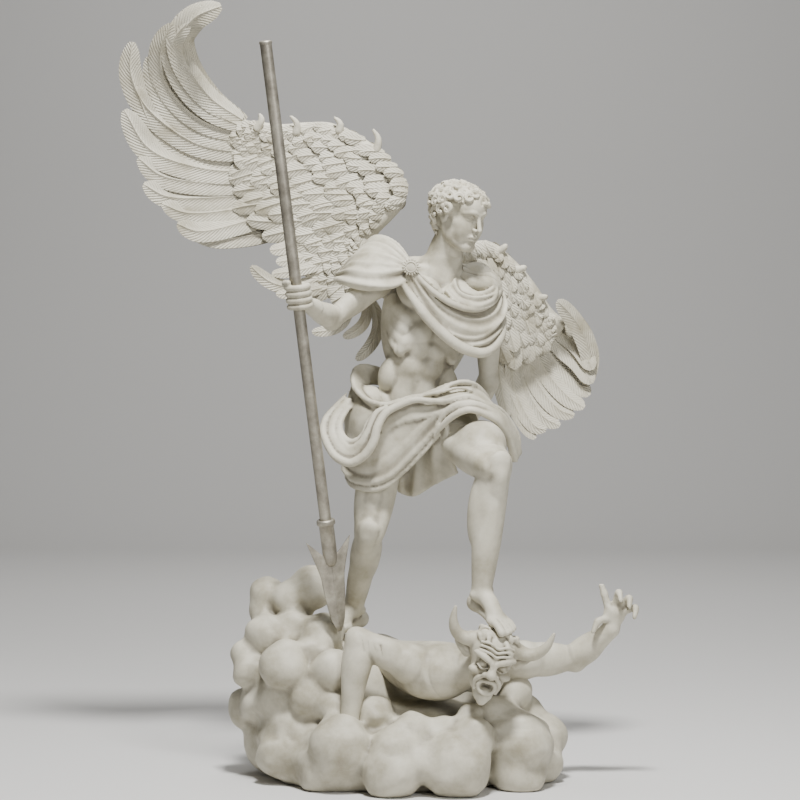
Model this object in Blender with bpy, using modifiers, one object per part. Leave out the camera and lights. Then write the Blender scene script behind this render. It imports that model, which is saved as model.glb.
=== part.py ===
"""Carved stone group: a winged archangel treading on a horned demon, on a bank of cloud.

The group is one carved block. The lance in its right fist is two more pieces, a metal shaft
and a barbed head whose socket takes the shaft. Metres, +Z up, the group faces -Y, and the
origin is in the middle of the flat underside.
"""

import math

import bmesh
import bpy
from mathutils import Matrix, Vector

# Driving sizes, in metres
GROUP_HEIGHT = 3.0          # underside to the highest feather; every carved form is a share of it
SHAFT_DIAMETER = 0.044
SHAFT_LENGTH = 1.905
SOCKET_WALL = 0.006         # wall of the lance head's socket round the shaft
SOCKET_DEPTH = 0.10         # how far the shaft enters the socket
COLLAR_WALL = 0.007         # how far the collar stands out from the socket
COLLAR_LENGTH = 0.022
HEAD_LENGTH = 0.37          # barb tips to point
BARB_SPAN = 0.175
BLADE_THICKNESS = 0.026
POINT_WIDTH = 0.014         # the blade's blunt point
RIM_WALL = 0.002            # the turned rim at the shaft's butt
FIT_GAP = 0.0005            # clearance between the lance and the stone
SOCKET_GAP = 0.0004         # clearance between the shaft and its socket

# Carving quality
GRAIN = 0.011               # voxel that melts the forms into one block
SOFTENING_STEPS = 3
FACE_SHARE = 0.033          # share of the melted block's faces that is kept
RING_SIDES = 10             # sides of a swept form

FULL = GROUP_HEIGHT / 3.0   # forms below are drawn for a group 3 m high


def at(x, y, z):
    """A point of the carving, drawn at 3 m, at the group's own size."""
    return Vector((x, y, z)) * FULL


def mix(a, b, share):
    return a + (b - a) * share


def smooth_path(stations, steps=4):
    """Catmull-Rom through stations, each a tuple of a point and its sizes."""
    rows = [tuple(point) + tuple(sizes) for point, *sizes in stations]
    if len(rows) < 3:
        ends = rows
        return [(Vector(mix(Vector(ends[0][:3]), Vector(ends[1][:3]), i / steps)),
                 *[mix(p, q, i / steps) for p, q in zip(ends[0][3:], ends[1][3:])])
                for i in range(steps + 1)]
    out = []
    for i in range(len(rows) - 1):
        before = rows[max(i - 1, 0)]
        start, end = rows[i], rows[i + 1]
        after = rows[min(i + 2, len(rows) - 1)]
        for step in range(steps):
            t = step / steps
            row = [0.5 * (2 * b + (c - a) * t + (2 * a - 5 * b + 4 * c - d) * t * t
                          + (3 * b - a - 3 * c + d) * t ** 3)
                   for a, b, c, d in zip(before, start, end, after)]
            out.append((Vector(row[:3]), *row[3:]))
    out.append((Vector(rows[-1][:3]), *rows[-1][3:]))
    return out


def ball(clay, centre, radii, along=None, facing=None):
    """An ellipsoid; along turns its z radius, and facing its y radius, to a direction."""
    turn = Matrix.Identity(3)
    if along is not None:
        turn = frame_of(along, facing or Vector((0, -1, 0)))
    if not hasattr(radii, "__len__"):
        radii = (radii, radii, radii)
    shape = turn.to_4x4() @ Matrix.Diagonal((*[r * FULL for r in radii], 1))
    bmesh.ops.create_icosphere(clay, subdivisions=2, radius=1,
                               matrix=Matrix.Translation(centre) @ shape)


def frame_of(along, facing):
    """Columns: side, facing and along, at right angles."""
    z = along.normalized()
    x = facing.cross(z)
    if x.length < 1e-6:
        x = Vector((1, 0, 0)).cross(z)
    x.normalize()
    return Matrix((x, z.cross(x), z)).transposed()


def sweep(clay, stations, facing=Vector((0, -1, 0)), steps=4, sides=RING_SIDES):
    """A closed form lofted through ellipses: each station is a point, half width and half depth."""
    full = [(point, *(sizes if len(sizes) == 2 else (sizes[0], sizes[0])))
            for point, *sizes in stations]
    path = smooth_path(full, steps)
    rings = []
    last = len(path) - 1
    for i, (point, width, depth) in enumerate(path):
        tangent = path[min(i + 1, last)][0] - path[max(i - 1, 0)][0]
        side, out, _ = frame_of(tangent, facing).transposed()
        rings.append([clay.verts.new(
            point + side * (width * FULL * math.cos(2 * math.pi * k / sides))
            + out * (depth * FULL * math.sin(2 * math.pi * k / sides))) for k in range(sides)])
    for low, high in zip(rings, rings[1:]):
        for k in range(sides):
            clay.faces.new((low[k], low[(k + 1) % sides], high[(k + 1) % sides], high[k]))
    clay.faces.new(list(reversed(rings[0])))
    clay.faces.new(rings[-1])


def limb(clay, stations, steps=4):
    """A sweep with round ends, for bones, horns and fingers."""
    sweep(clay, stations, steps=steps)
    for point, *sizes in (stations[0], stations[-1]):
        ball(clay, point, min(sizes))


def muscle(clay, start, end, width, depth, facing, swell=1.08):
    """A spindle between two points."""
    half = (end - start).length / 2 / FULL * swell
    ball(clay, (start + end) / 2, (width, depth, half), end - start, facing)


# The archangel's joints
HEAD = at(0.232, -0.085, 2.178)
NECK_PIT = at(0.160, -0.075, 1.945)
NECK_ROOT = at(0.142, 0.030, 1.975)
CHEST = at(0.118, 0.000, 1.800)
PELVIS = at(0.045, 0.030, 1.425)
SHOULDER_R = at(-0.058, -0.030, 1.955)
SHOULDER_L = at(0.338, 0.080, 1.872)
ELBOW_R = at(-0.262, -0.150, 1.778)
ELBOW_L = at(0.352, 0.150, 1.545)
WRIST_L = at(0.292, 0.300, 1.400)
HIP_R = at(-0.045, 0.040, 1.390)
HIP_L = at(0.135, 0.035, 1.372)
KNEE_R = at(-0.118, -0.020, 0.965)
KNEE_L = at(0.352, -0.345, 1.222)
ANKLE_R = at(-0.185, 0.165, 0.640)
ANKLE_L = at(0.306, -0.300, 0.745)
HEEL_R = at(-0.160, 0.225, 0.590)
TOES_R = at(-0.270, 0.020, 0.560)
HEEL_L = at(0.288, -0.255, 0.700)
TOES_L = at(0.405, -0.440, 0.612)

# The lance runs through the fist, with its point in the cloud
GRIP = at(-0.381, -0.400, 1.853)
LANCE_POINT = at(-0.232, -0.150, 0.585)

# The demon's joints
DEMON_HEAD = at(0.338, -0.385, 0.500)
DEMON_NECK = at(0.250, -0.270, 0.455)
DEMON_CHEST = at(0.130, -0.165, 0.435)
DEMON_LOINS = at(-0.020, 0.120, 0.440)
DEMON_HIPS = at(-0.090, 0.290, 0.430)
DEMON_SHOULDER_R = at(0.075, -0.245, 0.455)
DEMON_ELBOW_R = at(-0.155, -0.290, 0.560)
DEMON_WRIST_R = at(-0.190, -0.300, 0.270)
DEMON_SHOULDER_L = at(0.430, -0.130, 0.470)
DEMON_ELBOW_L = at(0.680, -0.020, 0.465)
DEMON_WRIST_L = at(0.815, -0.090, 0.585)


def body_frames():
    """Turns for the chest and the hips: x to the archangel's left, -y to his front, z up."""
    frames = []
    for left, right, up in ((SHOULDER_L, SHOULDER_R, NECK_ROOT - PELVIS),
                            (HIP_L, HIP_R, CHEST - PELVIS)):
        z = up.normalized()
        y = z.cross(left - right).normalized()
        frames.append(Matrix((y.cross(z), y, z)).transposed())
    return frames


CHEST_TURN, HIP_TURN = body_frames()
BEND_HIGH, BEND_LOW = -0.10, -0.30      # the waist bends between these heights


def trunk(x, y, z):
    """A point given on an upright trunk whose chest is at 0, put on the turned and bent one."""
    share = min(1.0, max(0.0, (z - BEND_LOW) / (BEND_HIGH - BEND_LOW)))
    share = share * share * (3 - 2 * share)
    high = CHEST + CHEST_TURN @ at(x, y, z)
    low = PELVIS + HIP_TURN @ at(x, y, z + 0.385)
    return mix(low, high, share)


def trunk_axis(x, y, z):
    return (trunk(x, y, z) - trunk(0, 0, 0)).normalized()


def carve_torso(clay):
    up = CHEST_TURN @ Vector((0, 0, 1))
    front = CHEST_TURN @ Vector((0, -1, 0))
    hip_up = HIP_TURN @ Vector((0, 0, 1))
    hip_front = HIP_TURN @ Vector((0, -1, 0))
    ball(clay, trunk(0, 0.005, 0.01), (0.160, 0.112, 0.205), up, front)
    ball(clay, trunk(0, 0.015, 0.11), (0.172, 0.090, 0.085), up, front)
    ball(clay, trunk(0, 0.005, -0.17), (0.142, 0.100, 0.175), up, front)
    ball(clay, trunk(0, 0.015, -0.36), (0.162, 0.112, 0.120), hip_up, hip_front)
    for side in (-1, 1):
        muscle(clay, trunk(side * 0.020, -0.092, 0.045), trunk(side * 0.165, -0.055, 0.105),
               0.072, 0.040, front)
        muscle(clay, trunk(side * 0.165, 0.03, 0.07), trunk(side * 0.115, 0.045, -0.20),
               0.045, 0.075, front)
        muscle(clay, trunk(side * 0.055, 0.085, 0.12), trunk(side * 0.045, 0.075, -0.33),
               0.048, 0.040, front)
        muscle(clay, trunk(side * 0.03, 0.05, 0.19), trunk(side * 0.17, 0.03, 0.145),
               0.045, 0.040, up)
        ball(clay, trunk(side * 0.118, 0.0, -0.265), (0.052, 0.070, 0.065), hip_up, hip_front)
        ball(clay, trunk(side * 0.085, 0.085, -0.42), (0.085, 0.075, 0.095), hip_up, hip_front)
        for row in range(3):
            ball(clay, trunk(side * 0.036, -0.086 - 0.003 * row, -0.100 - 0.066 * row),
                 (0.036, 0.026, 0.034), up, front)
        for rib in range(4):
            ball(clay, trunk(side * (0.132 - 0.006 * rib), -0.048, -0.01 - 0.044 * rib),
                 (0.030, 0.040, 0.021), up, front)
        muscle(clay, trunk(side * 0.015, -0.105, -0.045), trunk(side * 0.105, -0.078, -0.150),
               0.022, 0.020, front)
    ball(clay, trunk(0, -0.050, -0.31), (0.095, 0.062, 0.105), hip_up, hip_front)


def carve_neck_and_head(clay):
    sweep(clay, [(NECK_ROOT - at(0, 0, 0.05), 0.075, 0.070),
                 (mix(NECK_ROOT, HEAD, 0.42), 0.060, 0.062),
                 (mix(NECK_ROOT, HEAD, 0.85) + at(-0.01, 0.02, 0), 0.060, 0.066)])
    behind_ear = head_point(0.062, 0.028, -0.010)
    muscle(clay, NECK_PIT, head_point(-0.066, 0.035, -0.030), 0.020, 0.018, Vector((0, -1, 0)))
    muscle(clay, NECK_PIT, behind_ear, 0.018, 0.016, Vector((0, -1, 0)))
    up, face = head_axis(0, 0, 1), head_axis(0, -1, 0)
    ball(clay, head_point(0, 0.015, 0.040), (0.086, 0.106, 0.094), up, face)
    ball(clay, head_point(0, -0.034, -0.040), (0.066, 0.068, 0.092), up, face)
    ball(clay, head_point(0, -0.062, -0.108), (0.030, 0.028, 0.024), up, face)
    ball(clay, head_point(0, -0.090, 0.030), (0.054, 0.020, 0.015), up, face)
    muscle(clay, head_point(0, -0.098, 0.018), head_point(0, -0.124, -0.030), 0.013, 0.013, face)
    ball(clay, head_point(0, -0.094, -0.070), (0.026, 0.014, 0.013), up, face)
    for side in (-1, 1):
        ball(clay, head_point(side * 0.044, -0.068, -0.020), (0.028, 0.026, 0.026), up, face)
        ball(clay, head_point(side * 0.082, 0.014, -0.012), (0.013, 0.022, 0.032), up, face)
    carve_curls(clay)


# The head turns to the archangel's left and bows
HEAD_TURN = (Matrix.Rotation(math.radians(50), 3, "Z")
             @ Matrix.Rotation(math.radians(-8), 3, "Y")
             @ Matrix.Rotation(math.radians(16), 3, "X"))


def head_point(x, y, z):
    """A point given on a head that looks to -y, upright, with its centre at 0."""
    return HEAD + HEAD_TURN @ at(x, y, z)


def head_axis(x, y, z):
    return HEAD_TURN @ Vector((x, y, z))


CURLS = 60
CURL_SIZE = 0.027


def carve_curls(clay):
    """Short curls over the skull, on a spiral, left off the face and the front of the neck."""
    for i in range(CURLS):
        height = 1 - 1.62 * (i + 0.5) / CURLS
        turn = i * math.radians(137.5)
        flat = math.sqrt(max(0.0, 1 - height * height))
        x, y, z = flat * math.sin(turn), -flat * math.cos(turn), height
        if y < -0.15 and z < 0.42 or z < -0.62 and y < 0.3:
            continue
        ball(clay, head_point(0.088 * x, 0.016 + 0.110 * y, 0.042 + 0.098 * z),
             CURL_SIZE + 0.004 * math.sin(3.1 * i))


def carve_arm(clay, shoulder, elbow, wrist, back, girth=1.0):
    """Upper arm and forearm; back is the way the elbow points."""
    g = girth
    upper, lower = elbow - shoulder, wrist - elbow
    limb(clay, [(shoulder, 0.058 * g), (mix(shoulder, elbow, 0.45), 0.050 * g), (elbow, 0.041 * g)])
    muscle(clay, mix(shoulder, elbow, -0.12), mix(shoulder, elbow, 0.50), 0.066 * g, 0.062 * g, back)
    muscle(clay, mix(shoulder, elbow, 0.25) - back * 0.020 * g * FULL,
           mix(shoulder, elbow, 0.95) - back * 0.014 * g * FULL, 0.040 * g, 0.038 * g, back)
    muscle(clay, mix(shoulder, elbow, 0.15) + back * 0.022 * g * FULL,
           mix(shoulder, elbow, 0.90) + back * 0.010 * g * FULL, 0.044 * g, 0.036 * g, back)
    limb(clay, [(elbow, 0.041 * g), (elbow + lower * 0.30, 0.047 * g), (elbow + lower * 0.7, 0.035 * g),
                (wrist, 0.027 * g)])
    muscle(clay, elbow - upper * 0.12, elbow + lower * 0.62, 0.040 * g, 0.040 * g, back)


def carve_fist(clay):
    """The right hand: a palm behind the shaft and four fingers round it."""
    axis = lance_axis()
    toward_arm = (ELBOW_R - GRIP) - axis * (ELBOW_R - GRIP).dot(axis)
    toward_arm.normalize()
    across = axis.cross(toward_arm)
    shaft = SHAFT_DIAMETER / 2
    finger = 0.0125
    reach = shaft + finger * FULL * 0.8
    palm = GRIP + toward_arm * (reach + 0.016 * FULL)
    ball(clay, palm, (0.040, 0.026, 0.048), axis, toward_arm)
    ball(clay, palm - across * 0.030 * FULL, (0.022, 0.030, 0.044), axis, toward_arm)
    for n in range(4):
        level = GRIP + axis * (0.036 - 0.024 * n) * FULL
        ring = [level + toward_arm * (math.cos(turn) * reach) + across * (math.sin(turn) * reach)
                for turn in [math.radians(-75 - 48 * k) for k in range(6)]]
        limb(clay, [(point, finger) for point in ring], steps=2)
    thumb = [GRIP + toward_arm * math.cos(t) * reach + across * math.sin(t) * reach
             + axis * h * FULL for t, h in ((0.6, 0.020), (1.3, 0.045), (2.2, 0.058))]
    limb(clay, [(thumb[0], 0.017), (thumb[1], 0.014), (thumb[2], 0.012)])
    return palm


def carve_leg(clay, hip, knee, ankle, bend, sizes):
    """Thigh and shank; bend is the way the knee points, sizes are thigh, knee, calf and ankle."""
    thigh, shank = knee - hip, ankle - knee
    big, joint, calf, thin = sizes
    limb(clay, [(hip, big * 0.95), (mix(hip, knee, 0.35), big * 0.92),
                (mix(hip, knee, 0.72), mix(big, joint, 0.55)), (knee, joint)])
    muscle(clay, mix(hip, knee, 0.12) + bend * big * 0.32 * FULL,
           mix(hip, knee, 0.90) + bend * big * 0.20 * FULL, big * 0.72, big * 0.58, bend)
    muscle(clay, mix(hip, knee, 0.15) - bend * big * 0.38 * FULL,
           mix(hip, knee, 0.92) - bend * big * 0.16 * FULL, big * 0.66, big * 0.50, bend)
    side = thigh.cross(bend).normalized()
    for way in (-1, 1):
        muscle(clay, mix(hip, knee, 0.35) + side * way * big * 0.45 * FULL,
               mix(hip, knee, 0.99) + side * way * joint * 0.50 * FULL + bend * joint * 0.2 * FULL,
               big * 0.42, big * 0.46, bend)
    ball(clay, knee + bend * joint * 0.62 * FULL, (joint * 0.55, joint * 0.42, joint * 0.62),
         shank, bend)
    limb(clay, [(knee, joint), (mix(knee, ankle, 0.28), calf * 0.92),
                (mix(knee, ankle, 0.62), mix(calf, thin, 0.55)), (ankle, thin)])
    for way in (-1, 1):
        muscle(clay, mix(knee, ankle, 0.02) - bend * calf * 0.22 * FULL + side * way * calf * 0.36 * FULL,
               mix(knee, ankle, 0.58) - bend * calf * 0.30 * FULL + side * way * calf * 0.34 * FULL,
               calf * 0.62, calf * 0.72, bend)
    muscle(clay, mix(knee, ankle, 0.05) + bend * calf * 0.30 * FULL,
           ankle + bend * thin * 0.2 * FULL, calf * 0.50, calf * 0.45, bend)


def carve_foot(clay, ankle, heel, toes):
    ball(clay, heel, (0.032, 0.032, 0.034))
    ball(clay, ankle, (0.036, 0.034, 0.034))
    sole = toes - heel
    up = Vector((0, 0, 1))
    ball_of_foot = mix(heel, toes, 0.72)
    sweep(clay, [(mix(heel, ankle, 0.3), 0.032, 0.034),
                 (mix(heel, toes, 0.42) + up * 0.022 * FULL, 0.036, 0.036),
                 (ball_of_foot + up * 0.004 * FULL, 0.046, 0.024), (toes, 0.040, 0.013)], facing=up)
    muscle(clay, ankle + up * 0.01 * FULL, ball_of_foot + up * 0.012 * FULL, 0.032, 0.030, up)
    side = sole.cross(up).normalized()
    for n in range(5):
        place = (n - 2) * 0.019 * FULL
        start = ball_of_foot + side * place
        tip = toes + side * place * 1.05 - sole.normalized() * abs(n - 1) * 0.008 * FULL
        limb(clay, [(start, 0.012), (tip, 0.0105 + 0.003 * (n == 0))], steps=2)


# Cloth: the mantle from the brooch, and the cloth round the hips
BROOCH = at(0.045, -0.130, 1.985)
EYE_DISTANCE = 8.5          # the front view is drawn as seen from this far, at this height
EYE_HEIGHT = 1.47
SQUARE = 0.0039             # side of a square of the front view's grid, on the plane y = 0


def drawn(column, row, depth):
    """A point of the front view: grid column and row counted from its top left, and metres back."""
    reach = 1 + depth / EYE_DISTANCE
    return at((column - 400) * SQUARE * reach, depth, EYE_HEIGHT + (400 - row) * SQUARE * reach)


def traced(*marks):
    return [drawn(*mark) for mark in marks]


def cord_fold(clay, points, radius, depth=None, facing=Vector((0, -1, 0))):
    """One rounded fold along points, thinner at both ends."""
    count = len(points)
    sizes = [radius * (0.62 + 0.38 * math.sin(math.pi * i / (count - 1))) for i in range(count)]
    sweep(clay, [(p, s, (depth or radius) * s / radius) for p, s in zip(points, sizes)],
          facing=facing, steps=4, sides=8)


def between(first, second, share):
    """A path a share of the way between two paths."""
    return [mix(a, b, share) for a, b in zip(first, second)]


def draped(clay, high, low, count, radius, depth):
    """Parallel folds from one edge of a cloth to the other, on a thin ground."""
    for n in range(count):
        path = between(high, low, n / (count - 1))
        cord_fold(clay, path, radius, depth)
    inward = at(0, depth, 0)
    for n in range(2 * count - 1):
        path = [point + inward for point in between(high, low, n / (2 * count - 2))]
        cord_fold(clay, path, radius, depth)


def carve_mantle(clay):
    """A cap over the right shoulder and a sash of folds across the chest to the left arm."""
    ball(clay, SHOULDER_R + at(-0.025, -0.010, -0.005), (0.112, 0.088, 0.085))
    ball(clay, SHOULDER_R + at(0.060, 0.010, 0.045), (0.085, 0.085, 0.055))
    hem = traced((404, 288, -0.13), (380, 291, -0.155), (362, 290, -0.165), (349, 286, -0.15),
                 (341, 275, -0.10), (345, 262, -0.02), (356, 258, 0.06))
    cord_fold(clay, hem, 0.026, 0.032)
    middle = traced((400, 272, -0.13), (385, 280, -0.16), (370, 277, -0.165), (356, 268, -0.13),
                    (348, 262, -0.06))
    cord_fold(clay, middle, 0.024, 0.030)
    for column, row, depth in ((350, 262, -0.05), (356, 252, 0.0), (368, 245, 0.02),
                               (380, 240, 0.03), (393, 238, 0.05)):
        end = drawn(column, row, depth)
        start = mix(BROOCH, end, 0.10)
        hump = mix(BROOCH, end, 0.52) + at(0, -0.030, 0.010)
        cord_fold(clay, [start, hump, end], 0.024)
    sash_high = traced((416, 272, -0.130), (436, 288, -0.128), (456, 302, -0.108),
                       (474, 309, -0.075), (494, 303, -0.02), (497, 288, 0.09))
    sash_low = traced((414, 290, -0.130), (428, 318, -0.145), (446, 342, -0.145),
                      (470, 353, -0.120), (492, 345, -0.060), (500, 322, 0.06))
    draped(clay, sash_high, sash_low, 5, 0.019, 0.026)
    collar = traced((470, 281, -0.06), (478, 289, -0.05), (487, 290, -0.01), (486, 275, 0.10))
    cord_fold(clay, collar, 0.022, 0.026)
    ball(clay, SHOULDER_L + at(0.008, 0.010, -0.012), (0.082, 0.085, 0.082))
    back_high = [at(-0.100, 0.085, 1.985), at(0.040, 0.135, 1.955), at(0.180, 0.170, 1.900),
                 at(0.340, 0.165, 1.850)]
    back_low = [at(-0.080, 0.115, 1.900), at(0.050, 0.150, 1.800), at(0.190, 0.180, 1.700),
                at(0.365, 0.140, 1.680)]
    draped(clay, back_high, back_low, 5, 0.024, 0.022)
    ball(clay, BROOCH, (0.036, 0.014, 0.036))


def carve_hip_cloth(clay):
    """A rolled cloth round the hips: a hanging loop on the right, an apron, and thigh folds."""
    ball(clay, PELVIS + at(0.005, 0.010, -0.035), (0.180, 0.140, 0.115))
    ball(clay, HIP_R + at(-0.015, 0.010, -0.110), (0.120, 0.125, 0.165))
    ball(clay, mix(HIP_L, KNEE_L, 0.34), (0.122, 0.112, 0.150), KNEE_L - HIP_L)
    cowl = traced((378, 372, 0.14), (360, 367, 0.12), (351, 371, 0.06), (352, 385, -0.02),
                  (360, 397, -0.08), (374, 404, -0.120), (392, 402, -0.145), (412, 396, -0.155),
                  (430, 396, -0.155))
    cord_fold(clay, cowl, 0.020, 0.030)
    cord_fold(clay, [point + at(0.012, 0.02, -0.030) for point in cowl], 0.030, 0.040)
    loop = traced((345, 398, 0.00), (332, 412, -0.04), (324, 428, -0.08), (328, 445, -0.11),
                  (338, 459, -0.135), (352, 464, -0.150), (366, 455, -0.165), (375, 440, -0.170),
                  (379, 425, -0.170), (388, 411, -0.165), (404, 402, -0.160))
    cord_fold(clay, loop, 0.026, 0.034)
    cord_fold(clay, traced((350, 402, -0.04), (342, 418, -0.08), (342, 436, -0.10),
                           (352, 446, -0.125), (364, 438, -0.140), (368, 422, -0.150),
                           (378, 408, -0.150)), 0.026, 0.034)
    apron_high = traced((362, 415, -0.11), (385, 412, -0.13), (410, 405, -0.14), (432, 404, -0.15),
                        (444, 412, -0.16))
    apron_low = traced((352, 484, -0.03), (370, 489, -0.08), (389, 484, -0.10), (410, 465, -0.12),
                       (432, 442, -0.15))
    for n in range(5):
        start, end = apron_high[n], apron_low[n]
        bow = mix(start, end, 0.55) + at(0.020, -0.028, -0.006)
        cord_fold(clay, [start, bow, end], 0.036, 0.030)
        cord_fold(clay, [point + at(0.028, 0.030, -0.006) for point in (start, bow, end)], 0.036)
    cord_fold(clay, traced((348, 470, 0.06), (349, 482, -0.02), (360, 489, -0.07),
                           (385, 490, -0.10), (402, 477, -0.12), (420, 460, -0.14),
                           (438, 437, -0.17), (450, 424, -0.20)), 0.020, 0.026)
    waist = traced((408, 398, -0.150), (430, 387, -0.140), (452, 381, -0.120), (472, 383, -0.080),
                   (484, 396, -0.060), (492, 410, -0.050))
    cord_fold(clay, waist, 0.024, 0.034)
    over = traced((415, 402, -0.160), (440, 399, -0.165), (460, 396, -0.170), (480, 400, -0.175),
                  (500, 408, -0.150), (512, 424, -0.120), (521, 445, -0.080), (521, 460, -0.050))
    under = traced((434, 434, -0.170), (447, 419, -0.205), (462, 410, -0.235), (480, 411, -0.240),
                   (497, 419, -0.205), (510, 435, -0.160), (518, 452, -0.110), (519, 462, -0.060))
    for n in range(3):
        cord_fold(clay, between(over, under, n / 2), 0.022, 0.032)
    for n in range(4):
        deeper = [point + at(-0.006, 0.035, -0.008) for point in between(over, under, n / 3)]
        cord_fold(clay, deeper, 0.030, 0.040)
    tail_high = traced((415, 440, -0.02), (430, 440, 0.0), (445, 435, 0.0), (460, 430, 0.0))
    tail_low = traced((400, 491, 0.02), (416, 494, 0.0), (440, 481, 0.0), (462, 472, -0.02))
    for n in range(4):
        cord_fold(clay, [tail_high[n], mix(tail_high[n], tail_low[n], 0.5) + at(0.0, -0.01, 0),
                         tail_low[n]], 0.038, 0.030)
    pleats = 13
    for n in range(pleats):
        turn = math.radians(-14 + 208 * n / (pleats - 1))
        ring = at(math.cos(turn), math.sin(turn), 0)
        top = PELVIS + at(0.195 * ring.x, 0.155 * ring.y, 0.075 - 0.02 * ring.x)
        low = PELVIS + at(0.01 + 0.235 * ring.x, 0.200 * ring.y, -0.235 - 0.010 * math.sin(3 * turn))
        low.z += 0.055 * FULL * max(0.0, ring.x) * 1.6
        wave = at(0.010 * math.sin(2.3 * n), 0.012, 0)
        cord_fold(clay, [top, mix(top, low, 0.5) + wave, low], 0.036, 0.030, facing=ring)
        cord_fold(clay, [mix(p, PELVIS + at(0, 0, p.z - PELVIS.z), 0.22)
                         for p in (top, mix(top, low, 0.5), low)], 0.048, 0.034, facing=ring)


# Wings. A feather is a flat spindle along a bent quill
def feather(clay, quill, width, thickness, facing):
    """quill is the root, the middle and the tip."""
    root, middle, tip = quill
    shape = ((0.0, 0.45), (0.3, 0.95), (0.65, 1.0), (0.88, 0.72), (1.0, 0.22))
    stations = []
    for share, wide in shape:
        first, second = mix(root, middle, share), mix(middle, tip, share)
        point = mix(first, second, share)
        stations.append((point, width * wide, thickness * (1.15 - 0.55 * share)))
    sweep(clay, stations, facing=facing, steps=2, sides=6)


def row_of_keys(keys, count):
    """Spreads count quills evenly over the key quills, each nine numbers and a width."""
    quills = []
    for n in range(count):
        place = n / (count - 1) * (len(keys) - 1)
        low = min(int(place), len(keys) - 2)
        share = place - low
        row = [mix(a, b, share) for a, b in zip(keys[low], keys[low + 1])]
        quills.append(([at(*row[0:3]), at(*row[3:6]), at(*row[6:9])], row[9]))
    return quills


# Quill root, middle and tip, then half width, from the lowest feather to the highest
RIGHT_FLIGHT = [
    (-0.080, 0.190, 1.900, -0.105, 0.150, 1.740, -0.165, 0.120, 1.620, 0.030),
    (-0.120, 0.200, 1.900, -0.160, 0.150, 1.760, -0.270, 0.110, 1.725, 0.030),
    (-0.200, 0.220, 1.930, -0.280, 0.150, 1.830, -0.420, 0.080, 1.850, 0.030),
    (-0.260, 0.230, 1.970, -0.440, 0.160, 1.880, -0.580, 0.060, 1.990, 0.034),
    (-0.300, 0.240, 2.010, -0.400, 0.200, 2.000, -0.480, 0.160, 2.030, 0.034),
    (-0.370, 0.250, 2.120, -0.650, 0.230, 2.030, -0.880, 0.120, 2.150, 0.052),
    (-0.420, 0.250, 2.180, -0.760, 0.230, 2.130, -1.010, 0.090, 2.300, 0.058),
    (-0.460, 0.250, 2.240, -0.850, 0.230, 2.240, -1.065, 0.060, 2.560, 0.062),
    (-0.500, 0.250, 2.310, -0.920, 0.210, 2.320, -1.055, 0.020, 2.620, 0.064),
    (-0.530, 0.240, 2.380, -0.930, 0.190, 2.440, -1.040, -0.020, 2.850, 0.066),
    (-0.560, 0.230, 2.430, -0.950, 0.160, 2.560, -0.920, -0.080, 2.960, 0.070),
    (-0.600, 0.210, 2.480, -0.990, 0.120, 2.640, -0.700, -0.130, 2.985, 0.070),
]
LEFT_FLIGHT = [
    (0.370, 0.260, 1.720, 0.390, 0.300, 1.560, 0.400, 0.300, 1.420, 0.034),
    (0.420, 0.270, 1.680, 0.430, 0.320, 1.500, 0.520, 0.300, 1.330, 0.040),
    (0.470, 0.290, 1.690, 0.500, 0.350, 1.490, 0.640, 0.330, 1.375, 0.048),
    (0.530, 0.310, 1.720, 0.590, 0.370, 1.510, 0.745, 0.350, 1.430, 0.050),
    (0.570, 0.330, 1.760, 0.680, 0.390, 1.600, 0.790, 0.340, 1.560, 0.050),
    (0.590, 0.340, 1.780, 0.720, 0.380, 1.700, 0.785, 0.310, 1.660, 0.044),
    (0.600, 0.335, 1.800, 0.700, 0.340, 1.790, 0.740, 0.280, 1.740, 0.036),
    (0.590, 0.330, 1.810, 0.680, 0.320, 1.830, 0.650, 0.240, 1.850, 0.026),
]

# The front edge of each wing, and the line where the flight feathers start
RIGHT_EDGE = [at(-0.130, 0.190, 2.010), at(-0.135, 0.200, 2.120), at(-0.060, 0.190, 2.200),
              at(0.010, 0.170, 2.270), at(0.015, 0.170, 2.340), at(-0.060, 0.190, 2.440),
              at(-0.170, 0.210, 2.520), at(-0.300, 0.220, 2.565), at(-0.440, 0.220, 2.545),
              at(-0.600, 0.210, 2.560)]
RIGHT_TRAIL = [at(-0.150, 0.180, 1.840), at(-0.330, 0.210, 1.900), at(-0.370, 0.220, 2.020),
               at(-0.450, 0.225, 2.110), at(-0.540, 0.225, 2.170), at(-0.600, 0.225, 2.250),
               at(-0.630, 0.225, 2.330), at(-0.640, 0.220, 2.400), at(-0.660, 0.215, 2.480),
               at(-0.680, 0.205, 2.540)]
LEFT_EDGE = [at(0.270, 0.200, 1.980), at(0.250, 0.160, 2.030), at(0.290, 0.170, 2.085),
             at(0.350, 0.200, 2.095), at(0.410, 0.220, 2.050), at(0.480, 0.240, 1.980),
             at(0.545, 0.270, 1.890), at(0.600, 0.300, 1.810), at(0.660, 0.320, 1.770)]
LEFT_TRAIL = [at(0.300, 0.230, 1.800), at(0.330, 0.240, 1.740), at(0.380, 0.250, 1.690),
              at(0.420, 0.265, 1.660), at(0.470, 0.280, 1.650), at(0.520, 0.295, 1.655),
              at(0.570, 0.305, 1.680), at(0.610, 0.315, 1.710), at(0.640, 0.320, 1.745)]


def along(path, share):
    """The point at a share of a path, smoothly."""
    place = min(max(share, 0.0), 0.9999) * (len(path) - 1)
    i = int(place)
    t = place - i
    a, b = path[max(i - 1, 0)], path[i]
    c, d = path[i + 1], path[min(i + 2, len(path) - 1)]
    return 0.5 * (2 * b + (c - a) * t + (2 * a - 5 * b + 4 * c - d) * t * t
                  + (3 * b - a - 3 * c + d) * t ** 3)


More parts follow.
